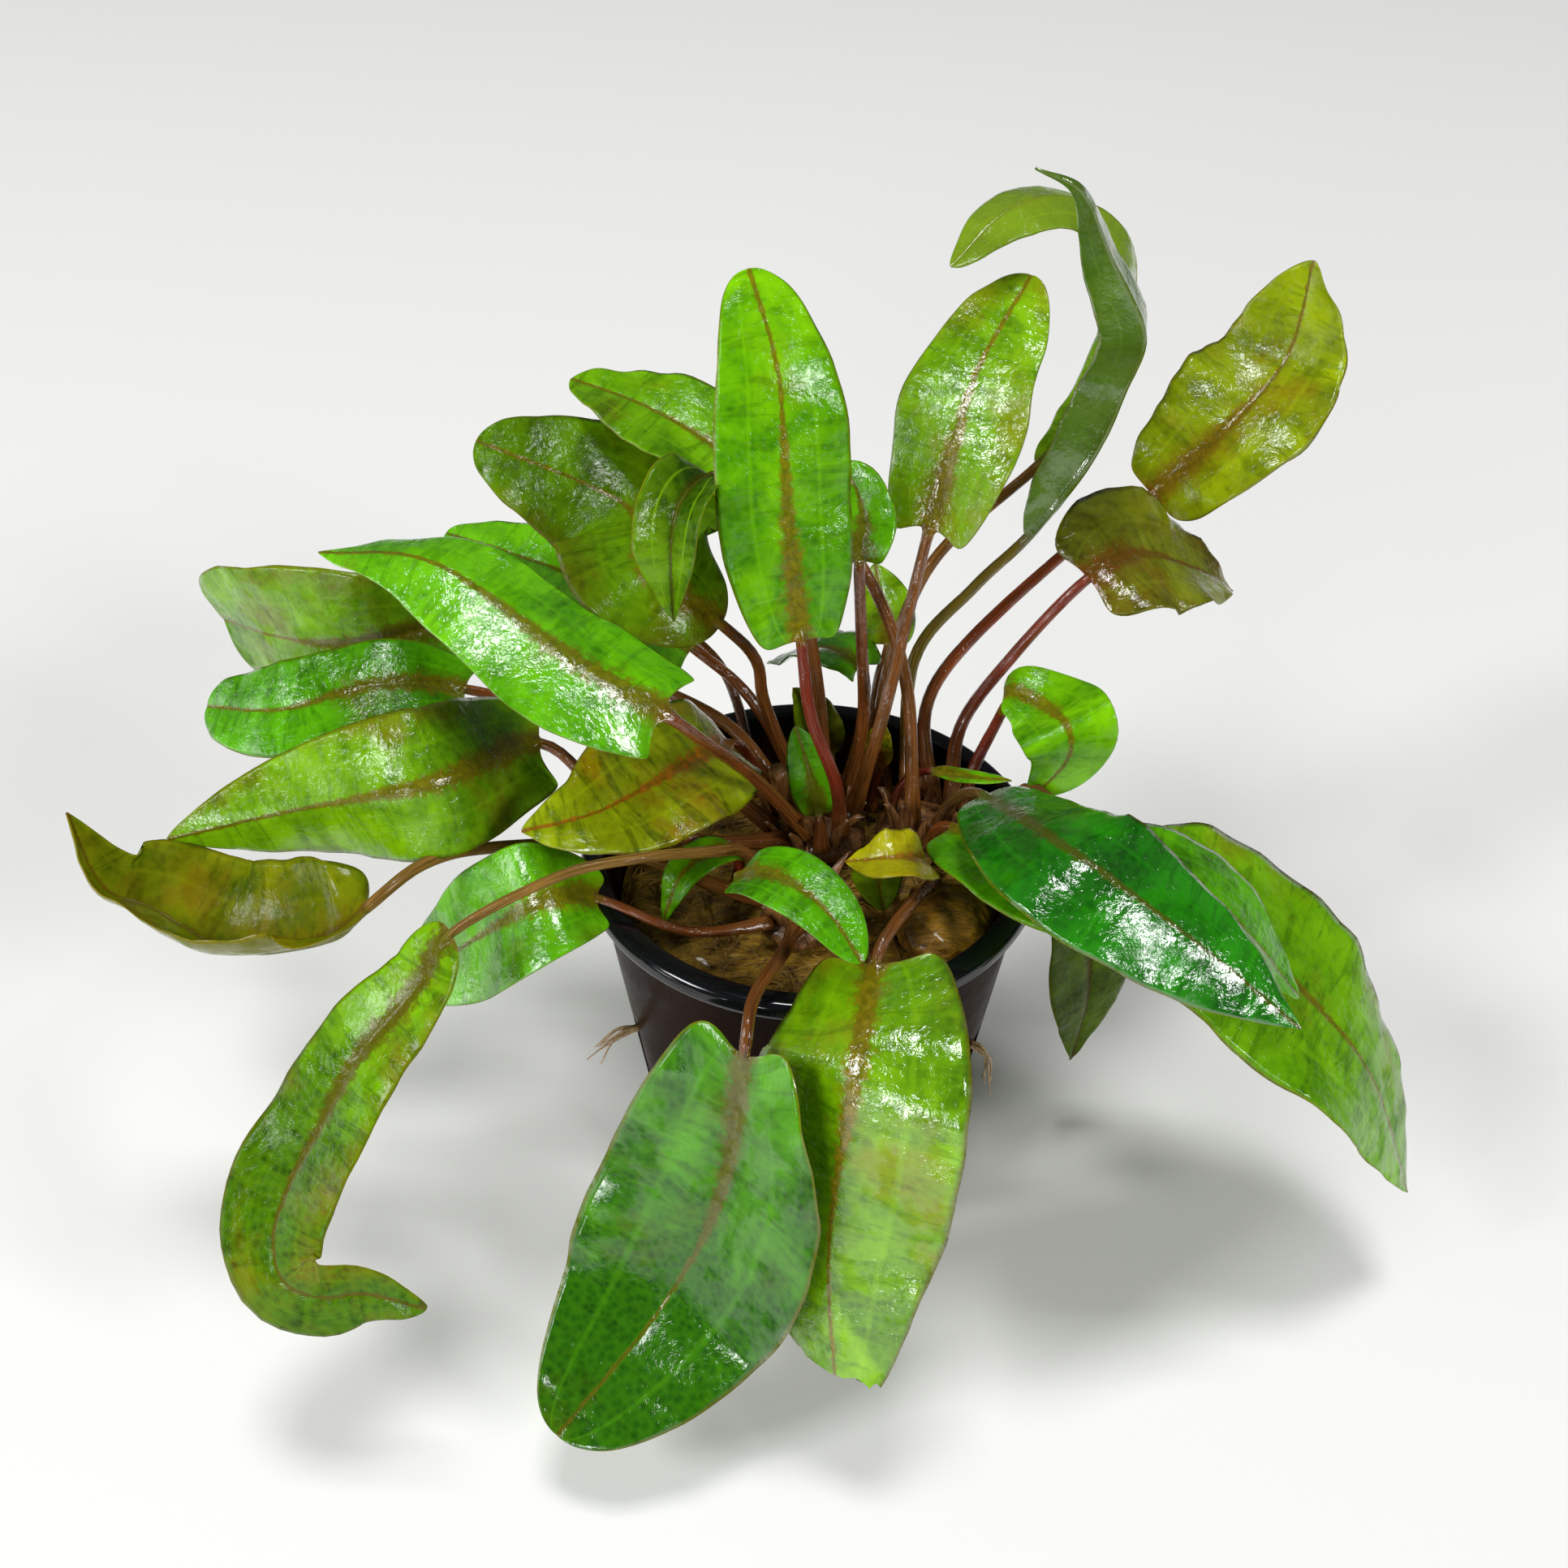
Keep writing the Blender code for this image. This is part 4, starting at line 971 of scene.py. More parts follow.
LEAVES = [
    # Low leaves to the left
    Leaf(
        "leaf_01", "leaf_olive", Tone.BRONZE, 20.1, 184,
        stalk=[
            (-4.2, -7.4, ROOT_Z), (-11, -6.4, 48.6), (-22.3, -4.6, 51.9), (-34.9, -6.3, 53),
            (-40.6, -12.6, 56.2),
        ],
        blade=[
            (-45.7, -18.1, 54.8), (-50.8, -17.9, 49.8), (-61.8, -16.8, 46.7), (-71.1, -13.1, 49),
            (-76.4, -12, 51.2), (-80, -7.5, 57.6),
        ],
        roll=18, fold=30, cup=16, wave=0.3, tip=0.92, lobe=0.2, peak=0.38, shoulder=0.34, twist=2,
        shade=(0.0, 0.05), brown=(-0.12, 0.14),
    ),
    Leaf(
        "leaf_02", "leaf_vivid", Tone.WEATHERED, 16.8, 188,
        stalk=[(-3, 3.1, ROOT_Z), (-12.5, -2.5, 51.5), (-21.5, -2.4, 55.9)],
        blade=[(-30.5, 3.6, 59.9), (-39.3, -8.9, 64.2), (-55.9, -7.7, 58.7), (-69.5, -8.6, 55)],
        roll=-20, fold=-15, wave=0.8, tip=0.74, shoulder=0.44, lobe=2.4, peak=0.34, twist=-36,
        brown=(0.1, 0.0),
    ),
    Leaf(
        "leaf_03", "leaf_vivid", Tone.MEADOW, 12.3, 180,
        stalk=[(-4.6, 5.4, ROOT_Z), (-9.5, 7.3, 50), (-15.5, 10.5, 53), (-29.2, 12.5, 57)],
        blade=[(-40.9, 14.5, 59), (-49.9, 11.8, 61.4), (-61.1, 9.2, 59.4), (-72.8, 15.8, 54.5)],
        roll=-16, wave=0.5, tip=0.34, shoulder=0.34, lobe=2.5, peak=0.41, twist=-7, fold=3,
    ),
    Leaf(
        "leaf_04", "leaf_olive", Tone.WEATHERED, 21.4, 172,
        stalk=[(-3.3, 10.6, ROOT_Z), (-11, 15.5, 54.5), (-28.5, 21.9, 58.3)],
        blade=[(-44.5, 24.8, 60.6), (-54.1, 20.2, 61.3), (-64.1, 23.8, 59.1), (-75.7, 32.6, 55.7)],
        roll=-67, fold=6, wave=0.5, tip=0.22, peak=0.54, shoulder=0.42, twist=-19, lobe=1.6,
    ),
    Leaf(
        "leaf_05", "leaf_vivid", Tone.VIVID, 16.7, 172,
        stalk=[(0, 3.9, ROOT_Z), (-6.5, -1.5, 60), (-10.9, -6.7, 68.4)],
        blade=[(-15.2, -8.4, 73.8), (-25.3, -4.1, 77.6), (-39.3, 3.7, 83), (-52.4, 7.6, 81.5)],
        roll=-17, fold=-13, wave=0.8, tip=0.78, shoulder=0.38, lobe=2.8, peak=0.3, twist=1,
        shade=(0.02, -0.06), ease=6,
    ),
    Leaf(
        "leaf_06", "leaf_vivid", Tone.VIVID, 15, 150,
        stalk=[(-0.9, 11.8, ROOT_Z), (-7.5, 16.5, 57)],
        blade=[(-14.5, 19, 62.5), (-23.5, 23, 67), (-35.5, 27, 69.5), (-45, 31, 70)],
        roll=-5, tip=0.5, shade=(-0.1, -0.12),
    ),
    # Tall leaves in the middle and at the back
    Leaf(
        "leaf_07", "leaf_deep", Tone.HAZEL, 19.1, 143,
        stalk=[(-0.4, 9, ROOT_Z), (-5.5, 9.5, 61), (-6.6, 8.9, 68.1)],
        blade=[(-10.3, 7.8, 73.5), (-18, 9.2, 79.4), (-22, 21.8, 79.9), (-38.5, 25.1, 85.6)],
        roll=-14, wave=0.8, tip=0.48, peak=0.5, lobe=0.2, shoulder=0.47, twist=2, fold=2,
        brown=(0.0, 0.12),
    ),
    Leaf(
        "leaf_08", "leaf_fresh", Tone.LIME, 14, 143,
        stalk=[(11.9, 6, ROOT_Z), (10.4, 14, 62), (5.2, 18.5, 74)],
        blade=[(-2.5, 22, 81.5), (-10, 25, 84.5), (-19.5, 30, 87.5), (-29, 35, 88.5)],
        roll=-4, tip=0.55,
    ),
    Leaf(
        "leaf_09", "leaf_fresh", Tone.FRESH, 14.6, 100,
        stalk=[(3.4, 4.4, ROOT_Z), (2.5, -0.5, 58.5), (-0.4, 0.6, 66.9)],
        blade=[(-1.6, 3.3, 74.7), (-3.2, 6.6, 87.2), (-4.4, 11.8, 100.1), (-7.6, 18.4, 108.5)],
        fold=-6, wave=0.6, tip=0.4, peak=0.42, lobe=1.5, shoulder=0.39, roll=9, twist=-2,
        shade=(0.2, -0.04),
    ),
    Leaf(
        "leaf_10", "leaf_olive", Tone.FOLDED, 9, 215,
        stalk=[(1.9, 8.4, ROOT_Z), (0.6, 12, 60), (-2, 14.5, 75), (-5.5, 13, 86)],
        blade=[(-11.2, 11.4, 89.3), (-13.9, 6.2, 89.3), (-14.8, 3.4, 85.9), (-14.7, 1.5, 78)],
        fold=25, cup=10, wave=0.4, tip=0.9, radius=0.78, young=True, lobe=0.3,
    ),
    Leaf(
        "leaf_11", "leaf_vivid", Tone.VIVID, 7.5, 100,
        stalk=[(3.6, 10.3, ROOT_Z), (5.6, 11.5, 57.5), (5, 12.5, 69)],
        blade=[(4.4, 14, 78), (4.8, 15.5, 81.5), (4, 17.5, 84.5), (2, 20, 86.5)],
        roll=-25, fold=10, young=True, lobe=0.5, tip=0.5,
    ),
    Leaf(
        "leaf_12", "leaf_vivid", Tone.GOLDEN, 16, 60,
        stalk=[(4.6, 7.4, ROOT_Z), (7.6, 8, 61), (10.1, 13.5, 71.7)],
        blade=[(12, 17.1, 80.4), (14.1, 19.8, 88.7), (16.5, 24.1, 96), (21.9, 30.8, 103.4)],
        wave=0.8, tip=0.45, peak=0.42, lobe=2.4, shoulder=0.43, roll=2, twist=-7, fold=1,
        brown=(0.1, 0.1), ease=5,
    ),
    Leaf(
        "leaf_13", "leaf_grey", Tone.GREY, 10.5, -45,
        stalk=[(11.2, 11.6, ROOT_Z), (11.4, 18, 62), (18.1, 22.9, 69.2)],
        blade=[
            (24.1, 25.9, 74.4), (29.8, 26.6, 83.3), (33.3, 28.9, 91.6), (33.6, 25.1, 99.6),
            (28.9, 24.6, 107.8), (24.4, 19.9, 115.9), (19.5, 19.2, 118.4),
        ],
        fold=47, wave=0.3, tip=1.1, peak=0.35, lobe=0.2, shoulder=0.58, roll=-5, twist=-2, cup=0,
        shade=(0.0, 0.12),
    ),
    Leaf(
        "leaf_14", "leaf_olive", Tone.OLIVE, 18.5, 50,
        stalk=[(14, 12, ROOT_Z), (14.3, 19, 58.2), (29.9, 30.3, 70.3)],
        blade=[(40, 36.7, 74.3), (46.9, 38.3, 81.3), (55.2, 45.5, 87.9), (55.7, 45, 100.1)],
        wave=1.2, tip=0.64, peak=0.46, roll=14, lobe=0.8, shoulder=0.36, twist=-17, fold=9,
    ),
    Leaf(
        "leaf_15", "leaf_dying", Tone.RUSSET, 18.5, 35,
        stalk=[(16.6, 10.4, ROOT_Z), (17.4, 16, 54), (22.8, 17.3, 63.7)],
        blade=[(30.5, 19.5, 73), (37, 24.5, 73.2), (44.8, 27.4, 69.6), (50.2, 29.6, 65.4)],
        fold=8, wave=0.8, tip=0.88, roll=27, peak=0.36, shoulder=0.55, twist=-8, lobe=1.6,
    ),
    Leaf(
        "leaf_16", "leaf_fresh", Tone.FRESH, 12.9, -20,
        stalk=[(17.8, 6.8, ROOT_Z), (18.6, 11.5, 51), (20.5, 13, 54.9)],
        blade=[
            (21.9, 12.8, 59.8), (21.7, 13, 62.2), (26.1, 10.7, 61.4), (28.1, 4.4, 63),
            (28.5, 5.3, 58), (25, 5.3, 52.3),
        ],
        wave=0.4, tip=0.58, lobe=0.2, peak=0.5, shoulder=0.44, roll=15, twist=1, fold=6,
        dents=0.05, ease=14,
    ),
    # Leaves to the right
    Leaf(
        "leaf_17", "leaf_deep", Tone.DEEP, 16.1, -28,
        stalk=[(14.9, 6.6, ROOT_Z), (15.8, 2.5, 53.8)],
        blade=[(18.5, -2, 58.6), (25.4, -18.3, 65.5), (36.6, -23.5, 59.7), (48.9, -27.3, 50.7)],
        fold=-10, wave=0.5, tip=0.92, peak=0.45, shoulder=0.48, lobe=1.0, roll=-12, twist=13,
    ),
    Leaf(
        "leaf_18", "leaf_vivid", Tone.LIME, 26, -25,
        stalk=[(16.6, 4.1, ROOT_Z), (23.2, -0.2, 52.3)],
        blade=[
            (34.6, -5.5, 50.2), (40.3, -8.2, 49.7), (49.9, -11.3, 44.5), (62.1, -17.2, 33.3),
            (70.3, -20.7, 15.8),
        ],
        fold=-1, wave=0.8, tip=0.82, roll=9, peak=0.31, shoulder=0.44, twist=-5, lobe=1.0,
        shade=(0.04, 0.02), brown=(0.0, 0.06),
    ),
    Leaf(
        "leaf_19", "leaf_olive", Tone.DUSK, 13, -60,
        stalk=[(20.2, 4.4, 44.6), (21.4, 4.6, 50.5), (25, 4.6, 54.3), (29.5, 3.4, 49.5)],
        blade=[(31.5, 2, 43), (33.5, 1, 34), (34.8, 1.5, 22), (34.2, 2, 11)],
        tip=0.95, wave=0.2, lobe=0.6,
    ),
    Leaf(
        "leaf_20", "leaf_fresh", Tone.MEADOW, 19.1, -35,
        stalk=[(13.8, 3.2, ROOT_Z)],
        blade=[(15.7, -0.8, 52.9), (26.9, -11.7, 55.8), (40.3, -14.3, 56.7), (51.5, -19, 46.4)],
        wave=0.6, tip=0.61, lobe=0.6, peak=0.42, shoulder=0.43, roll=-6, twist=4, fold=5,
    ),
    Leaf(
        "leaf_21", "leaf_fresh", Tone.FRESH, 2.4, 0,
        stalk=[(8.9, 8.2, ROOT_Z), (11, 10.8, 50)],
        blade=[(14, 10.2, 52), (17.5, 8, 53), (22.5, 5, 55)],
        wave=0, tip=0.8, lobe=0, radius=0.55, young=True,
    ),
    # Leaves in front
    Leaf(
        "leaf_22", "leaf_vivid", Tone.MOSS, 5.4, 100,
        stalk=[(1.2, 1.6, ROOT_Z)],
        blade=[(0.8, 2.9, 51), (-0.3, 3.9, 56), (-2.1, 5.1, 62)],
        wave=0, tip=0.6, lobe=0.1, radius=0.72, young=True, shade=(-0.12, -0.1),
    ),
    Leaf(
        "leaf_23", "leaf_dying", Tone.RUST, 16, 215,
        stalk=[(-4.75, 8.2, ROOT_Z), (-7.2, 10, 52.5)],
        blade=[(-9.5, 8.0, 57), (-13.5, 0.8, 60), (-22, -9.5, 61.5), (-30, -12, 60.5)],
        wave=1.0, roll=-12,
    ),
    Leaf(
        "leaf_24", "leaf_vivid", Tone.VIVID, 15.8, 185,
        stalk=[(-3.6, -10.2, ROOT_Z), (-12.8, -14.4, 48.9)],
        blade=[(-22.6, -13, 52.3), (-27.9, -16.3, 54.7), (-35.8, -15.4, 47.8), (-43.7, -13.9, 40.2)],
        roll=-9, wave=0.4, tip=0.46, peak=0.45, shoulder=0.48, twist=1, fold=7, lobe=2.3,
        shade=(-0.02, -0.05), radius=0.64, ease=5,
    ),
    Leaf(
        "leaf_25", "leaf_vivid", Tone.MOTTLED, 13, 215,
        stalk=[(-4.6, -1.2, 44.6), (-7.2, -6, 53), (-10.5, -11, 57.5), (-17, -16, 61), (-25, -19, 61)],
        blade=[
            (-35.8, -22.7, 56.2), (-38.9, -26.2, 52.1), (-44.5, -30.8, 46.8), (-48.9, -36.1, 40.5),
            (-51.6, -39.8, 36.1), (-52.7, -42.9, 32.4), (-51.6, -45.4, 29.4), (-48.1, -46.3, 28.2),
            (-43.4, -46, 28.5), (-37.2, -46.7, 27.4),
        ],
        roll=-10, twist=-15, wave=0.5, tip=0.62, peak=0.5, lobe=0.6, shoulder=0.35,
        shade=(-0.1, 0.62), brown=(0.06, 0.1), radius=0.66,
    ),
    Leaf(
        "leaf_26", "leaf_deep", Tone.MOSS, 26.3, 245,
        stalk=[(-1.4, -11.3, ROOT_Z), (-2.8, -20.5, 52), (-5.3, -27.2, 52.8)],
        blade=[(-6, -32.5, 50.6), (-8.2, -36, 33.2), (-14.6, -40.2, 18.6), (-25, -50.9, 10.9)],
        wave=0.7, tip=0.46, peak=0.45, fold=13, lobe=3.9, shoulder=0.55, roll=9, twist=-16,
        shade=(0.0, 0.3),
    ),
    Leaf(
        "leaf_27", "leaf_olive", Tone.GOLDEN, 23.9, 272,
        stalk=[(14.6, -0.6, 44.6), (13.8, -6, 49.5), (11, -13, 53), (8.3, -19.4, 55.1)],
        blade=[(6.7, -23.3, 54.2), (4.7, -35.6, 51.6), (2.8, -41.5, 32.6), (3.8, -48, 18.4)],
        wave=0.6, tip=0.66, peak=0.41, lobe=3.0, shoulder=0.42, cut=1.9, roll=20, twist=0, fold=-11,
        shade=(0.06, 0.1), brown=(0.04, 0.04),
    ),
    Leaf(
        "leaf_28", "leaf_vivid", Tone.MEADOW, 9, -35,
        stalk=[(-1, -8.4, ROOT_Z), (-3.6, -11, 52)],
        blade=[(-7.5, -13.5, 56.5), (-3.5, -16.5, 59.5), (1.5, -20.5, 59), (5.3, -25.5, 56.5)],
        wave=0.2, tip=0.5, lobe=0.2, young=True, shade=(0.14, 0.06), ease=5,
    ),
    Leaf(
        "leaf_29", "leaf_dying", Tone.YELLOW, 7, 200,
        stalk=[(9.6, -1.8, 44.6), (10.4, -4.6, 50)],
        blade=[(12.4, -8.2, 54.3), (8.6, -10.6, 57), (3.7, -9.3, 55)],
        wave=0.4, tip=0.8, lobe=0.4, fold=15, young=True, radius=0.75,
    ),
    Leaf(
        "leaf_30", "leaf_fresh", Tone.FRESH, 5, 215,
        stalk=[(-8.4, -3.4, 44.6)],
        blade=[(-8.2, -3.2, 50), (-10.8, -5.3, 52.3), (-14, -8.4, 51.6), (-16, -11.5, 47)],
        wave=0.1, tip=0.9, lobe=0.2, young=True, radius=0.72,
    ),
    Leaf(
        "leaf_31", "leaf_fresh", Tone.STRIPED, 10.8, 45,
        stalk=[(8.9, 14.2, 44.6), (8, 17, 57.5), (12.9, 23.8, 71.5)],
        blade=[
            (25.3, 32.1, 80.4), (31.7, 36.7, 86.5), (34.6, 38.4, 94.9), (33.1, 37.9, 104.7),
            (26.9, 37.8, 109.1), (19.2, 32.8, 109.7), (12.9, 26.8, 105.7),
        ],
        roll=-13, twist=-41, fold=19, wave=0.4, tip=0.65, peak=0.5, lobe=0.2, shoulder=0.42,
    ),
    # Half hidden leaves at the back
    Leaf(
        "leaf_32", "leaf_deep", Tone.MOSS, 11, 160,
        stalk=[(4.2, 14.8, 44.6), (5.8, 16.5, 56)],
        blade=[(5.2, 18, 61), (0.4, 21, 61.5), (-5.5, 24, 57)],
        wave=0.4, tip=0.6, young=True,
    ),
    Leaf(
        "leaf_33", "leaf_fresh", Tone.GOLDEN, 7, 95,
        stalk=[(6.8, 16.2, 44.6), (7.4, 20.5, 56.5)],
        blade=[(8.6, 22.8, 61), (7.9, 24.3, 65.5), (6.6, 26.5, 70)],
        wave=0.2, tip=0.7, lobe=0.3, young=True, radius=0.72, shade=(-0.1, -0.1),
    ),
    Leaf(
        "leaf_34", "leaf_olive", Tone.DUSK, 6, 130,
        stalk=[(1.5, 12, ROOT_Z)],
        blade=[(2, 13.8, 51), (0.2, 13.8, 56), (-2.6, 13.6, 61)],
        wave=0.3, tip=0.7, lobe=0.2, young=True, radius=0.72,
    ),
    Leaf(
        "leaf_35", "leaf_vivid", Tone.VIVID, 4, 140,
        stalk=[(-6.4, 13.6, 44.6), (-10.5, 20.5, 57), (-16.5, 24, 62)],
        blade=[(-21, 26, 64), (-25.5, 29, 66), (-30, 31, 67)],
        wave=0.1, tip=0.7, lobe=0, young=True, radius=0.7,
    ),
    Leaf(
        "leaf_36", "leaf_deep", Tone.DUSK, 6, 280,
        stalk=[(6.6, -2.2, 44.6)],
        blade=[(7.4, -4.4, 49.6), (7.4, -8.5, 51.4), (8, -11, 49.5)],
        wave=0.1, tip=0.7, lobe=0.2, young=True, radius=0.72,
    ),
    Leaf(
        "leaf_37", "leaf_dying", Tone.RUST, 4, 80,
        stalk=[(7, 11.4, 44.6)],
        blade=[(7.6, 12.8, 50.5), (7.4, 12.2, 54), (7.8, 11.4, 58)],
        wave=0.2, tip=0.7, lobe=0, young=True, radius=0.7,
    ),
]


@dataclass(frozen=True)
class BlackPolypropylene(Finish):
    """Injection-moulded polypropylene, blue-black and glossy on the lip, with a thin wall.

    The wall's brown-black carries a painted reflection: its brown tint stands in for a hand
    reflected under the pot.
    """

    lip: str = "#0A0C10"
    # Painted reflection: the wall's brown tint, here and in the worn marks, stands in for a hand
    # reflected in it
    colour: str = "#20100A"
    worn: str = "#2C1A10"
    lip_starts: float = 46.5
    lip_full: float = 47.5

    def surface(self, tree: Tree) -> Inputs:
        """Works out the wall's handling marks, the lip and a fine moulded grain.

        Args:
            tree: the material's nodes.

        Returns:
            What each of the shader's inputs takes.
        """
        place = add(tree, "TexCoord", {}, "Object")
        # Handling marks, 4 mm wide
        marks = {"Vector": place, "Scale": 1 / (4 * MM), "Detail": 5.0, "Roughness": 0.65}
        cloud = add(tree, "TexNoise", marks)
        colour = cover(tree, self.colour, self.worn, cloud, (0.45, 0.8))
        height = add(tree, "SeparateXYZ", {"Vector": place}, "Z")
        on_lip = {VALUE: height, START: self.lip_starts * MM, END: self.lip_full * MM}
        on_lip = add(tree, "MapRange", on_lip)
        layers = {FACTOR: on_lip, UNDER: colour, OVER: self.lip}
        colour = add(tree, "Mix", layers, MIXED, data_type="RGBA")
        dulled = {VALUE: cloud, START: 0.3, END: 0.75, LOW: 0.14, HIGH: 0.34}
        # The mould's grain, 0.5 mm wide
        grain = add(tree, "TexNoise", {"Vector": place, "Scale": 1 / (0.5 * MM), "Detail": 2.0})
        return {
            "Base Color": colour,
            "Roughness": add(tree, "MapRange", dulled),
            "Normal": add(tree, "Bump", {"Strength": 1.0, "Distance": 0.012 * MM, "Height": grain}),
            "IOR": 1.04,
            "Coat Weight": on_lip,
            "Coat Roughness": 0.12,
        }


@dataclass
class NetPot:
    """The net pot: a turned wall with a rounded lip, a plain band and sixteen upright slots."""

    height: float = 50.0
    rim_radius: float = 26.0
    lip_height: float = 2.4
    lip_roll: float = 1.05
    lip_round: float = 1.0
    inner_round: float = 0.6
    band_radius: float = 24.4
    base_radius: float = 18.5
    foot_round: float = 0.8
    wall: float = 1.2
    floor: float = 1.6
    slot_bottom: float = 6.0
    slot_top: float = 28.0
    slots: int = 16
    slot_turn: float = -5.25
    columns: int = 9
    slot_columns: int = 3
    sharp_angle: float = 40.0
    finish: BlackPolypropylene = field(default_factory=BlackPolypropylene)

    def wall_radius(self, z: float) -> float:
        """The wall's outer radius at a height under the lip."""
        rise = self.band_radius - self.base_radius
        return self.base_radius + rise * z / (self.height - self.lip_height)

    def profile(self) -> list[tuple[float, float]]:
        """The wall's section, from the middle of its base, up outside, over the lip and down inside.

        Returns:
            Radius and height of each point.
        """
        # Small set-backs of up to 0.6 mm soften the corners where two stretches meet
        under_lip = self.height - self.lip_height
        foot = self.foot_round
        roll = self.lip_roll
        crest = self.lip_round
        ease = self.inner_round
        inner = self.band_radius - self.wall + 0.1
        up = (self.slot_bottom, self.slot_top, under_lip - 0.6)
        down = (self.slot_top, self.slot_bottom, self.floor + 0.4)
        outside = [(self.wall_radius(z), z) for z in up]
        inside = [(self.wall_radius(z) - self.wall, z) for z in down]
        return [
            (0.0, 0.0),
            (self.base_radius - foot, 0.0),
            *arc(self.wall_radius(foot) - foot, foot, foot, -90, 0, 3),
            *outside,
            (self.band_radius + 0.25, under_lip - 0.1),
            # The roll's seven points start at -78 degrees, where it leaves the band
            *arc(self.rim_radius - roll, under_lip + roll, roll, -91, 0, 7),
            *arc(self.rim_radius - crest, self.height - crest, crest, 0, 90, 6),
            *arc(inner + ease, self.height - ease, ease, 90, 180, 4),
            (self.band_radius - self.wall - 0.2, under_lip),
            *inside,
            (self.wall_radius(self.floor) - self.wall - 0.5, self.floor),
            (0.0, self.floor),
        ]

    def build(self) -> list[bpy.types.Object]:
        """Turns the wall and opens its slots.

        Returns:
            The finished pot, alone in its list.
        """
        turn = math.radians(self.slot_turn)
        work = turned(self.profile(), self.slots * self.columns, turn)
        self.open_slots(work, turn)
        material = self.finish.material("black_polypropylene")
        pot = make_piece("net_pot", work, material, "pot", "pot")
        pot.data.set_sharp_from_angle(angle=math.radians(self.sharp_angle))
        return [pot]

    def open_slots(self, work: Mesh, turn: float) -> None:
        """Takes the slots' panels out of both walls and joins the two openings of each.

        Args:
            work: the turned wall.
            turn: the angle at which the first slot starts.
        """
        panels: dict[int, list[bmesh.types.BMFace]] = {}
        pitch = math.tau / self.slots
        for face in work.faces:
            middle = face.calc_center_median()
            slot, within = divmod((math.atan2(middle.y, middle.x) - turn) % math.tau, pitch)
            open_here = within < pitch * self.slot_columns / self.columns
            if open_here and self.slot_bottom < middle.z < self.slot_top:
                panels.setdefault(int(slot), []).append(face)
        rims = [[edge for face in faces for edge in face.edges] for faces in panels.values()]
        doomed = [face for faces in panels.values() for face in faces]
        bmesh.ops.delete(work, geom=doomed, context="FACES")
        for rim in rims:
            loops = list({edge for edge in rim if edge.is_valid and edge.is_boundary})
            bmesh.ops.bridge_loops(work, edges=loops)


@dataclass(frozen=True)
class WetFibre(Finish):
    """Soaked rock wool: brown, matted and wet, with glints on the fibres."""

    light: str
    dark: str
    fibre: float = 0.35
    roughness: float = 0.42

    def surface(self, tree: Tree) -> Inputs:
        """Works out the wool's mats, which lie level and are drawn out sideways.

        Args:
            tree: the material's nodes.

        Returns:
            What each of the shader's inputs takes.
        """
        place = add(tree, "TexCoord", {}, "Object")
        # Fibres are drawn far thicker than they are, so that they show
        drawn_out = (1 / (2.6 * MM), 1 / (self.fibre * MM), 1 / (self.fibre * 2 * MM))
        stretched = add(tree, "Mapping", {"Vector": place, "Scale": drawn_out, "Rotation": (0, 0, 0.5)})
        tangle = {"Scale": 1.0, "Detail": 5.0, "Roughness": 0.7, "Distortion": 1.4}
        strands = add(tree, "TexNoise", {"Vector": stretched, **tangle})
        # Clumps 3 mm wide
        lumps = {"Vector": place, "Scale": 1 / (3 * MM), "Detail": 4.0, "Roughness": 0.6}
        clumps = add(tree, "TexNoise", lumps)
        both = add(tree, "Math", {0: strands, 1: clumps}, operation="MULTIPLY")
        return {
            "Base Color": cover(tree, self.dark, self.light, both, (0.14, 0.38)),
            "Roughness": self.roughness,
            "Normal": add(tree, "Bump", {"Strength": 1.0, "Distance": 0.6 * MM, "Height": both}),
            "Coat Weight": 0.35,
            "Coat Roughness": 0.12,
        }


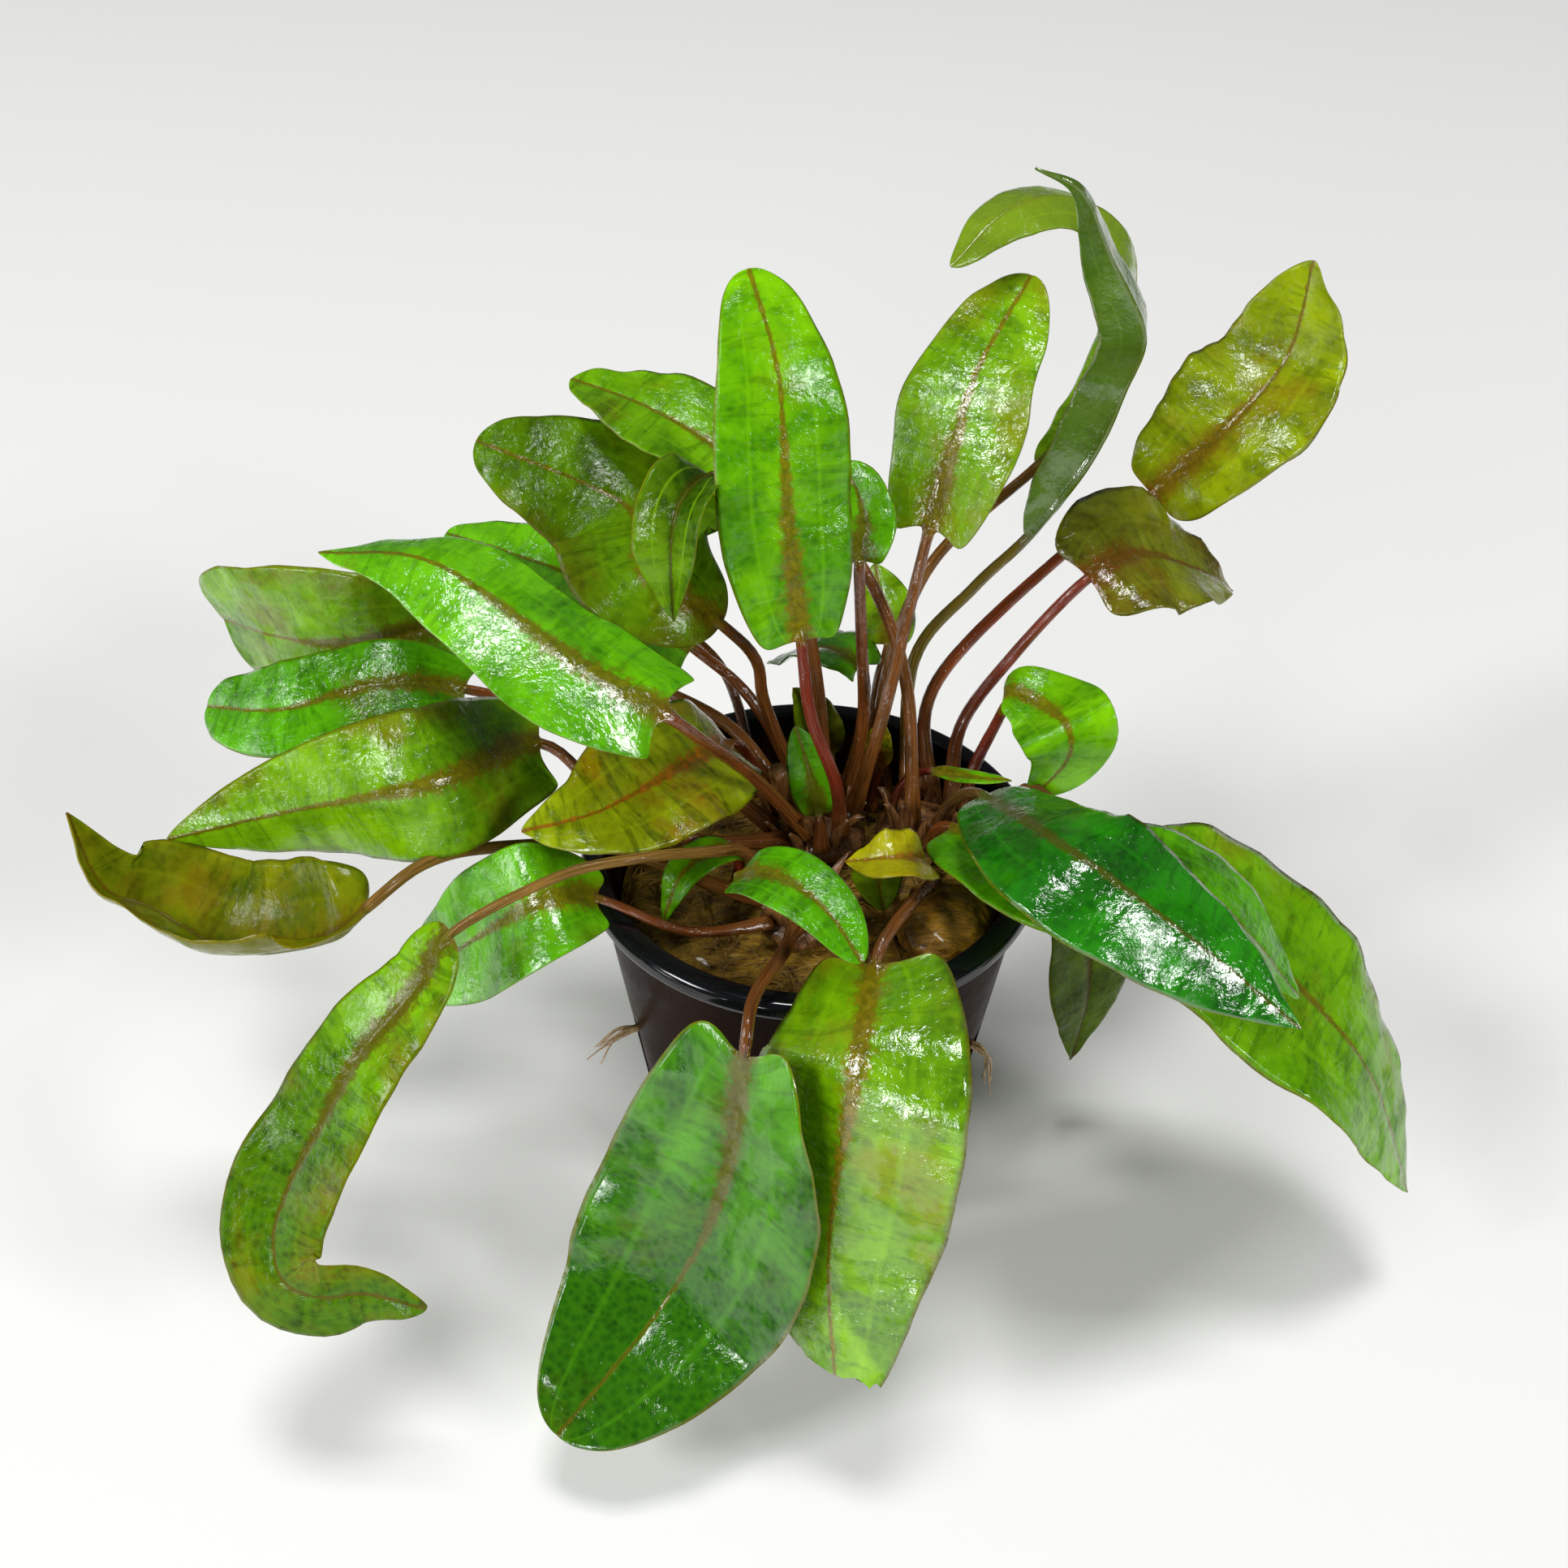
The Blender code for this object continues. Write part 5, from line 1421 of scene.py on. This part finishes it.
@dataclass
class RockWool:
    """The plug of wool in the pot, the lump that stands on it and the loose fibres."""

    pot: NetPot
    gap: float = 0.3
    bottom: float = 1.9
    top: float = 43.6
    top_radius: float = 22.0
    torn_radius: float = 22.4
    torn_depth: float = 2.5
    edge_drop: float = 1.4
    plug_columns: int = 120
    base_rings: int = 11
    top_rings: int = 44
    lump_centre: Vector = field(default_factory=lambda: Vector((14.6, -9.6, 46.4)))
    lump_radii: Vector = field(default_factory=lambda: Vector((5.3, 5.9, 3.1)))
    fibres: int = 340
    fibre_reach: float = 20.5
    fibre_limit: float = 21.6
    fibre_steps: int = 6
    fibre_tip: float = 0.04
    shortest_fibre: float = 1.0
    seed: int = 11
    finish: WetFibre = WetFibre("#D0A028", "#2E1C04")
    # Painted light: the lump's wool is painted brighter than the plug's to lift it out of the shadow it
    # lies in
    painted_light_lump_finish: WetFibre = WetFibre("#E4A42A", "#5A3808", 0.6, 0.3)
    fibre_finish: WetFibre = WetFibre("#CFA44A", "#6E4C1A")

    def surface(self, x: float, y: float) -> float:
        """Height of the wool's top, lower at the wall and where it is torn from it at the back.

        Args:
            x: place from the pot's middle, to the right.
            y: place from the pot's middle, to the back.

        Returns:
            The height.
        """
        part = min(1.0, math.hypot(x, y) / self.torn_radius)
        behind = max(0.0, math.sin(math.atan2(y, x) - 0.5))
        z = self.top - 0.5 - self.torn_depth * behind * part**3
        z -= self.edge_drop * smooth_step(part, 0.88, 1.0)
        # Clumps 3.2 mm wide, and tufts of 1.1 mm on them
        z += 0.9 * noise.noise(Vector((x / 3.2, y / 3.2, 1.0)))
        return z + 0.45 * noise.noise(Vector((x / 1.1, y / 1.1, 4.0)))

    def build_plug(self) -> bpy.types.Object:
        """Turns the plug and roughens its top.

        Returns:
            The finished plug.
        """
        inset = self.pot.wall + self.gap
        base_radius = self.pot.base_radius - inset
        rings = range(self.base_rings + 1)
        points = [(base_radius * ring / self.base_rings, self.bottom) for ring in rings]
        points += [(self.pot.wall_radius(z) - inset, float(z)) for z in range(4, 42, 2)]
        points.append((self.top_radius - 0.1, self.top - 1.8))
        inward = [1 - ring / self.top_rings for ring in range(1, self.top_rings + 1)]
        points += [(self.top_radius * share, self.top) for share in inward]
        work = turned(points, self.plug_columns)
        for vertex in work.verts:
            if vertex.co.z > self.top - 0.9:
                vertex.co.z = self.surface(vertex.co.x, vertex.co.y)
        material = self.finish.material("rock_wool")
        return make_piece("wool_body", work, material, "wool", "wool_plug")

    def build_lump(self) -> bpy.types.Object:
        """Makes the rounded lump with its folds.

        Returns:
            The finished lump.
        """
        work = bmesh.new()
        bmesh.ops.create_icosphere(work, subdivisions=5, radius=1.0)
        for vertex in work.verts:
            around = vertex.co.copy()
            folds = math.sin(3.2 * around.x * 2 + 4.1 * around.y + 2 * noise.noise(around * 1.3))
            swell = 1 + 0.05 * folds + 0.07 * noise.noise(around * 2.2) + 0.03 * noise.noise(around * 7)
            vertex.co = around * swell
        bmesh.ops.scale(work, vec=self.lump_radii, verts=work.verts)
        bmesh.ops.translate(work, vec=self.lump_centre, verts=work.verts)
        material = self.painted_light_lump_finish.material("rock_wool_lump")
        return make_piece("wool_mound", work, material, "wool", "wool_lump")

    def fibre_line(self, draw: random.Random) -> list[Vector]:
        """Lays one curled fibre on the wool's top, inside the pot's wall.

        Args:
            draw: the source of the fibres' differences.

        Returns:
            The fibre's points.
        """
        angle = draw.uniform(0, math.tau)
        reach = self.fibre_reach * math.sqrt(draw.random())
        x, y = reach * math.cos(angle), reach * math.sin(angle)
        heading = draw.uniform(0, math.tau)
        length = draw.uniform(2.5, 8.0)
        curl = draw.uniform(-0.9, 0.9)
        lift = draw.uniform(0.1, 1.1)
        line = []
        for step in range(self.fibre_steps + 1):
            t = step / self.fibre_steps
            turn = heading + curl * t
            px = x + length * (t - 0.5) * math.cos(turn)
            py = y + length * (t - 0.5) * math.sin(turn)
            far = math.hypot(px, py)
            if far > self.fibre_limit:
                px, py = px * self.fibre_limit / far, py * self.fibre_limit / far
            pz = self.surface(px, py) + 0.05 + lift * math.sin(math.pi * t)
            line.append(Vector((px, py, pz)))
        return line

    def build_fibres(self) -> bpy.types.Object:
        """Scatters loose fibres over the wool's top, without those that the wall cut short.

        Returns:
            The fibres, joined in one piece.
        """
        draw = random.Random(self.seed)
        work = bmesh.new()
        for _ in range(self.fibres):
            line = self.fibre_line(draw)
            if (line[-1] - line[0]).length > self.shortest_fibre:
                Tube(line, draw.uniform(0.06, 0.14), self.fibre_tip, sides=4).build(work)
        material = self.fibre_finish.material("loose_fibre")
        return make_piece("wool_fibres", work, material, "wool")

    def build(self) -> list[bpy.types.Object]:
        """Builds plug, lump and fibres."""
        return [self.build_plug(), self.build_lump(), self.build_fibres()]


@dataclass(frozen=True)
class Rind(Finish):
    """Rootstock rind: fleshy, straw to red-brown, wet, with fine stripes."""

    light: str
    dark: str
    stripe: float = 0.5
    roughness: float = 0.35

    def surface(self, tree: Tree) -> Inputs:
        """Works out the rind's upright stripes, which are about 5 mm long.

        Args:
            tree: the material's nodes.

        Returns:
            What each of the shader's inputs takes.
        """
        place = add(tree, "TexCoord", {}, "Object")
        upright = (1 / (self.stripe * MM), 1 / (self.stripe * MM), 1 / (5 * MM))
        stretched = add(tree, "Mapping", {"Vector": place, "Scale": upright})
        stripes = {"Scale": 1.0, "Detail": 4.0, "Roughness": 0.6, "Distortion": 0.5}
        grain = add(tree, "TexNoise", {"Vector": stretched, **stripes})
        return {
            "Base Color": cover(tree, self.dark, self.light, grain, (0.32, 0.68)),
            "Roughness": self.roughness,
            "Normal": add(tree, "Bump", {"Strength": 1.0, "Distance": 0.12 * MM, "Height": grain}),
            "Coat Weight": 0.4,
            "Coat Roughness": 0.08,
        }


@dataclass
class Rootstock:
    """One short rootstock with the flat old sheaths that stand round it."""

    node: str
    middle: tuple[float, float]
    radius: float
    scales: int
    bottom: float = 43.4
    top: float = 46.5
    half_height: float = 2.0
    sheath_foot: float = 1.4
    sheath_curl: float = 0.55
    sheath_half_thickness: float = 0.16
    sheath_rows: int = 10
    sheath_columns: int = 6

    def build(self, material: bpy.types.Material) -> bpy.types.Object:
        """Builds the stock and its sheaths.

        Args:
            material: the rind.

        Returns:
            The finished piece.
        """
        draw = random.Random(self.node)
        work = bmesh.new()
        bmesh.ops.create_icosphere(work, subdivisions=4, radius=1.0)
        centre = Vector((*self.middle, (self.bottom + self.top) / 2))
        radii = Vector((self.radius, self.radius, self.half_height))
        for vertex in work.verts:
            around = vertex.co.copy()
            swell = 1 + 0.10 * noise.noise(around * 2.0 + centre) + 0.05 * noise.noise(around * 6.0)
            vertex.co = centre + around * radii * swell
        for i in range(self.scales):
            self.add_sheath(work, draw, math.tau * (i + draw.uniform(-0.3, 0.3)) / self.scales)
        return make_piece(self.node.replace("crown", "rootstock"), work, material, "crown", self.node)

    def add_sheath(self, work: Mesh, draw: random.Random, angle: float) -> None:
        """Adds one curved, pointed sheath that leans out from the stock.

        Args:
            work: the stock's mesh.
            draw: the source of the small differences.
            angle: where round the stock it stands.
        """
        height = draw.uniform(3.5, 8.0)
        width = draw.uniform(1.0, 1.8)
        lean = draw.uniform(0.1, 0.5)
        reach = self.radius * draw.uniform(0.62, 0.9)
        out = Vector((math.cos(angle), math.sin(angle), 0))
        side = Vector((-math.sin(angle), math.cos(angle), 0))
        foot = Vector((*self.middle, self.top - self.sheath_foot)) + out * reach

        def place(row: int, column: int) -> Vector:
            """Works out the point for a row up the sheath and a column round it.

            Args:
                row: counted from the sheath's foot.
                column: counted round it from one edge.

            Returns:
                The point in millimetres.
            """
            t = row / self.sheath_rows
            turn = math.pi * column / self.sheath_columns
            wide = width * (1 - t**2.5) + 0.05
            v = -math.cos(turn)
            thick = self.sheath_half_thickness * math.sin(turn)
            curl = self.sheath_curl * width * v * v
            middle = foot + Vector((0, 0, height * t)) + out * (lean * height * t * t - curl)
            return middle + side * (wide * v) + out * thick

        grid_skin(work, self.sheath_rows, 2 * self.sheath_columns, place)


@dataclass
class Crown:
    """The three rootstocks, in one rind."""

    stocks: tuple[Rootstock, ...] = (
        Rootstock("crown_left", (0.0, 7.0), 6.0, 12),
        Rootstock("crown_right", (13.2, 7.4), 5.5, 11),
        Rootstock("crown_front", (-1.2, -8.2), 4.3, 8),
    )
    rind: Rind = Rind("#A07040", "#4A2A14")

    def build(self) -> list[bpy.types.Object]:
        """Builds the rootstocks."""
        material = self.rind.material("rootstock_rind")
        return [stock.build(material) for stock in self.stocks]


@dataclass
class OldStalk:
    """The cut stalk that has lost its leaf, with a ragged top."""

    line: tuple[Point, ...] = ((-1.9, 6.5, 46.2), (-3.1, 4.6, 52.0), (-4.0, 2.8, 57.5))
    start_radius: float = 1.4
    end_radius: float = 1.0
    ragged: float = 2.5
    rind: Rind = Rind("#B07A48", "#6A3C20")

    def build(self) -> list[bpy.types.Object]:
        """Builds the stalk.

        Returns:
            The finished piece, alone in its list.
        """
        work = bmesh.new()
        Tube(smooth_line(self.line), self.start_radius, self.end_radius, sides=20).build(work)
        top = max(vertex.co.z for vertex in work.verts)
        for vertex in work.verts:
            if vertex.co.z > top - self.ragged:
                vertex.co.z += 0.6 * noise.noise(vertex.co * 1.3)
        material = self.rind.material("old_stalk_rind")
        return [make_piece("cut_stalk", work, material, "old_stalk", "old_stalk")]


@dataclass
class RootTufts:
    """The tufts of thin rootlets that come out of two of the pot's slots."""

    lines: dict[str, tuple[Point, ...]] = field(
        default_factory=lambda: {
            "root_right": ((19.0, -8.5, 26), (21.2, -9.4, 25), (21.6, -9.6, 20)),
            "root_left": ((-19.4, -7.45, 26), (-22, -8.5, 25.5), (-25, -10, 23)),
        }
    )
    strands: int = 6
    start_radius: float = 0.22
    end_radius: float = 0.08
    spread: float = 0.9
    rind: Rind = Rind("#C8A878", "#8A6A44", 0.3)

    def build_tuft(self, node: str, material: bpy.types.Material) -> bpy.types.Object:
        """Builds one tuft's rootlets, which part towards their tips.

        Args:
            node: the tuft's solid.
            material: the rootlets' rind.

        Returns:
            The finished piece.
        """
        draw = random.Random(node)
        work = bmesh.new()
        line = self.lines[node]
        for _ in range(self.strands):
            points = []
            for i, point in enumerate(line):
                spread = 0.25 + self.spread * i / (len(line) - 1)
                shift = Vector([draw.uniform(-spread, spread) for _ in range(3)])
                points.append(Vector(point) + shift)
            root = smooth_line(points, steps=6)
            Tube(root, self.start_radius, self.end_radius, sides=6).build(work)
        return make_piece(node + "_tuft", work, material, "root", node)

    def build(self) -> list[bpy.types.Object]:
        """Builds both tufts."""
        material = self.rind.material("rootlet_rind")
        return [self.build_tuft(node, material) for node in self.lines]


@dataclass(frozen=True)
class MattBoard(Finish):
    """White board with a matt face, which shows soft shadows."""

    colour: str = "#FAFAF8"

    def surface(self, tree: Tree) -> Inputs:
        """One colour all over, with no gloss."""
        return {"Base Color": self.colour, "Roughness": 0.7}


@dataclass(frozen=True)
class Softbox:
    """A rectangular softbox that faces the plant. Its place and size are in metres, power in watts."""

    name: str
    place: Point
    size: tuple[float, float]
    power: float
    aim: Point = (0.0, 0.0, 0.06)

    def hang(self) -> None:
        """Hangs the softbox in the scene."""
        light = bpy.data.lights.new(self.name, "AREA")
        light.shape = "RECTANGLE"
        light.size, light.size_y = self.size
        light.energy = self.power
        holder = bpy.data.objects.new(self.name, light)
        holder.location = self.place
        way = Vector(self.aim) - Vector(self.place)
        holder.rotation_euler = way.to_track_quat("-Z", "Y").to_euler()
        holder.visible_camera = False
        bpy.context.scene.collection.objects.link(holder)


@dataclass
class Studio:
    """The plain pale floor, the soft lights and the camera."""

    floor_size: float = 6.0
    board: MattBoard = MattBoard()
    eye: Point = (0.0, -133.0, 168.5)
    turn: Point = (50.25, -0.45, 1.74)
    view_angle: float = 53.0
    sensor: float = 36.0
    room: str = "#F4F7FA"
    room_strength: float = 0.08
    lights: tuple[Softbox, ...] = (
        Softbox("overhead_softbox", (0.0, 0.21, 3.06), (0.74, 0.60), 33.0),
        Softbox("right_softbox", (1.92, -1.29, 1.44), (0.76, 0.55), 31.0),
        Softbox("left_softbox", (-1.83, -0.96, 1.80), (0.66, 0.66), 30.0),
        Softbox("side_screen", (-1.95, -0.34, 0.34), (1.5, 0.5), 9.5),
        Softbox("low_strip", (-0.30, -0.60, 0.20), (0.18, 0.12), 1.2),
    )

    def build_floor(self) -> None:
        """Lays the floor, which is no part of the plant."""
        work = bmesh.new()
        bmesh.ops.create_grid(work, x_segments=1, y_segments=1, size=self.floor_size / 2)
        mesh = bpy.data.meshes.new("floor")
        work.to_mesh(mesh)
        work.free()
        mesh.materials.append(self.board.material("matt_white_board"))
        floor = bpy.data.objects.new("floor", mesh)
        bpy.context.scene.collection.objects.link(floor)

    def build_camera(self) -> None:
        """Sets the camera at the photograph's place and angle."""
        camera = bpy.data.cameras.new("camera")
        camera.sensor_width = self.sensor
        camera.lens = self.sensor / 2 / math.tan(math.radians(self.view_angle / 2))
        camera.clip_start = 0.005
        holder = bpy.data.objects.new("camera", camera)
        holder.location = Vector(self.eye) * MM
        holder.rotation_euler = [math.radians(angle) for angle in self.turn]
        bpy.context.scene.collection.objects.link(holder)
        bpy.context.scene.camera = holder

    def build(self) -> None:
        """Builds the floor, the camera, the softboxes and a dim room round them."""
        self.build_floor()
        self.build_camera()
        for light in self.lights:
            light.hang()
        world = bpy.data.worlds.new("pale_room")
        world.use_nodes = True
        walls = {"Color": self.room, "Strength": self.room_strength}
        feed(world.node_tree.nodes["Background"], walls)
        bpy.context.scene.world = world
        bpy.context.scene.view_settings.view_transform = "Standard"


def main() -> None:
    """Builds the plant from the pot up, reports its pieces, and builds the studio round it."""
    logging.basicConfig(level=logging.INFO, format="%(message)s")
    pot = NetPot()
    for part in (pot, RockWool(pot), Crown(), Foliage(LEAVES), OldStalk(), RootTufts()):
        for piece in part.build():
            mesh = piece.data
            log.info("%s: %s, %d faces", piece.name, mesh.materials[0].name, len(mesh.polygons))
    Studio().build()


if __name__ == "__main__":
    main()
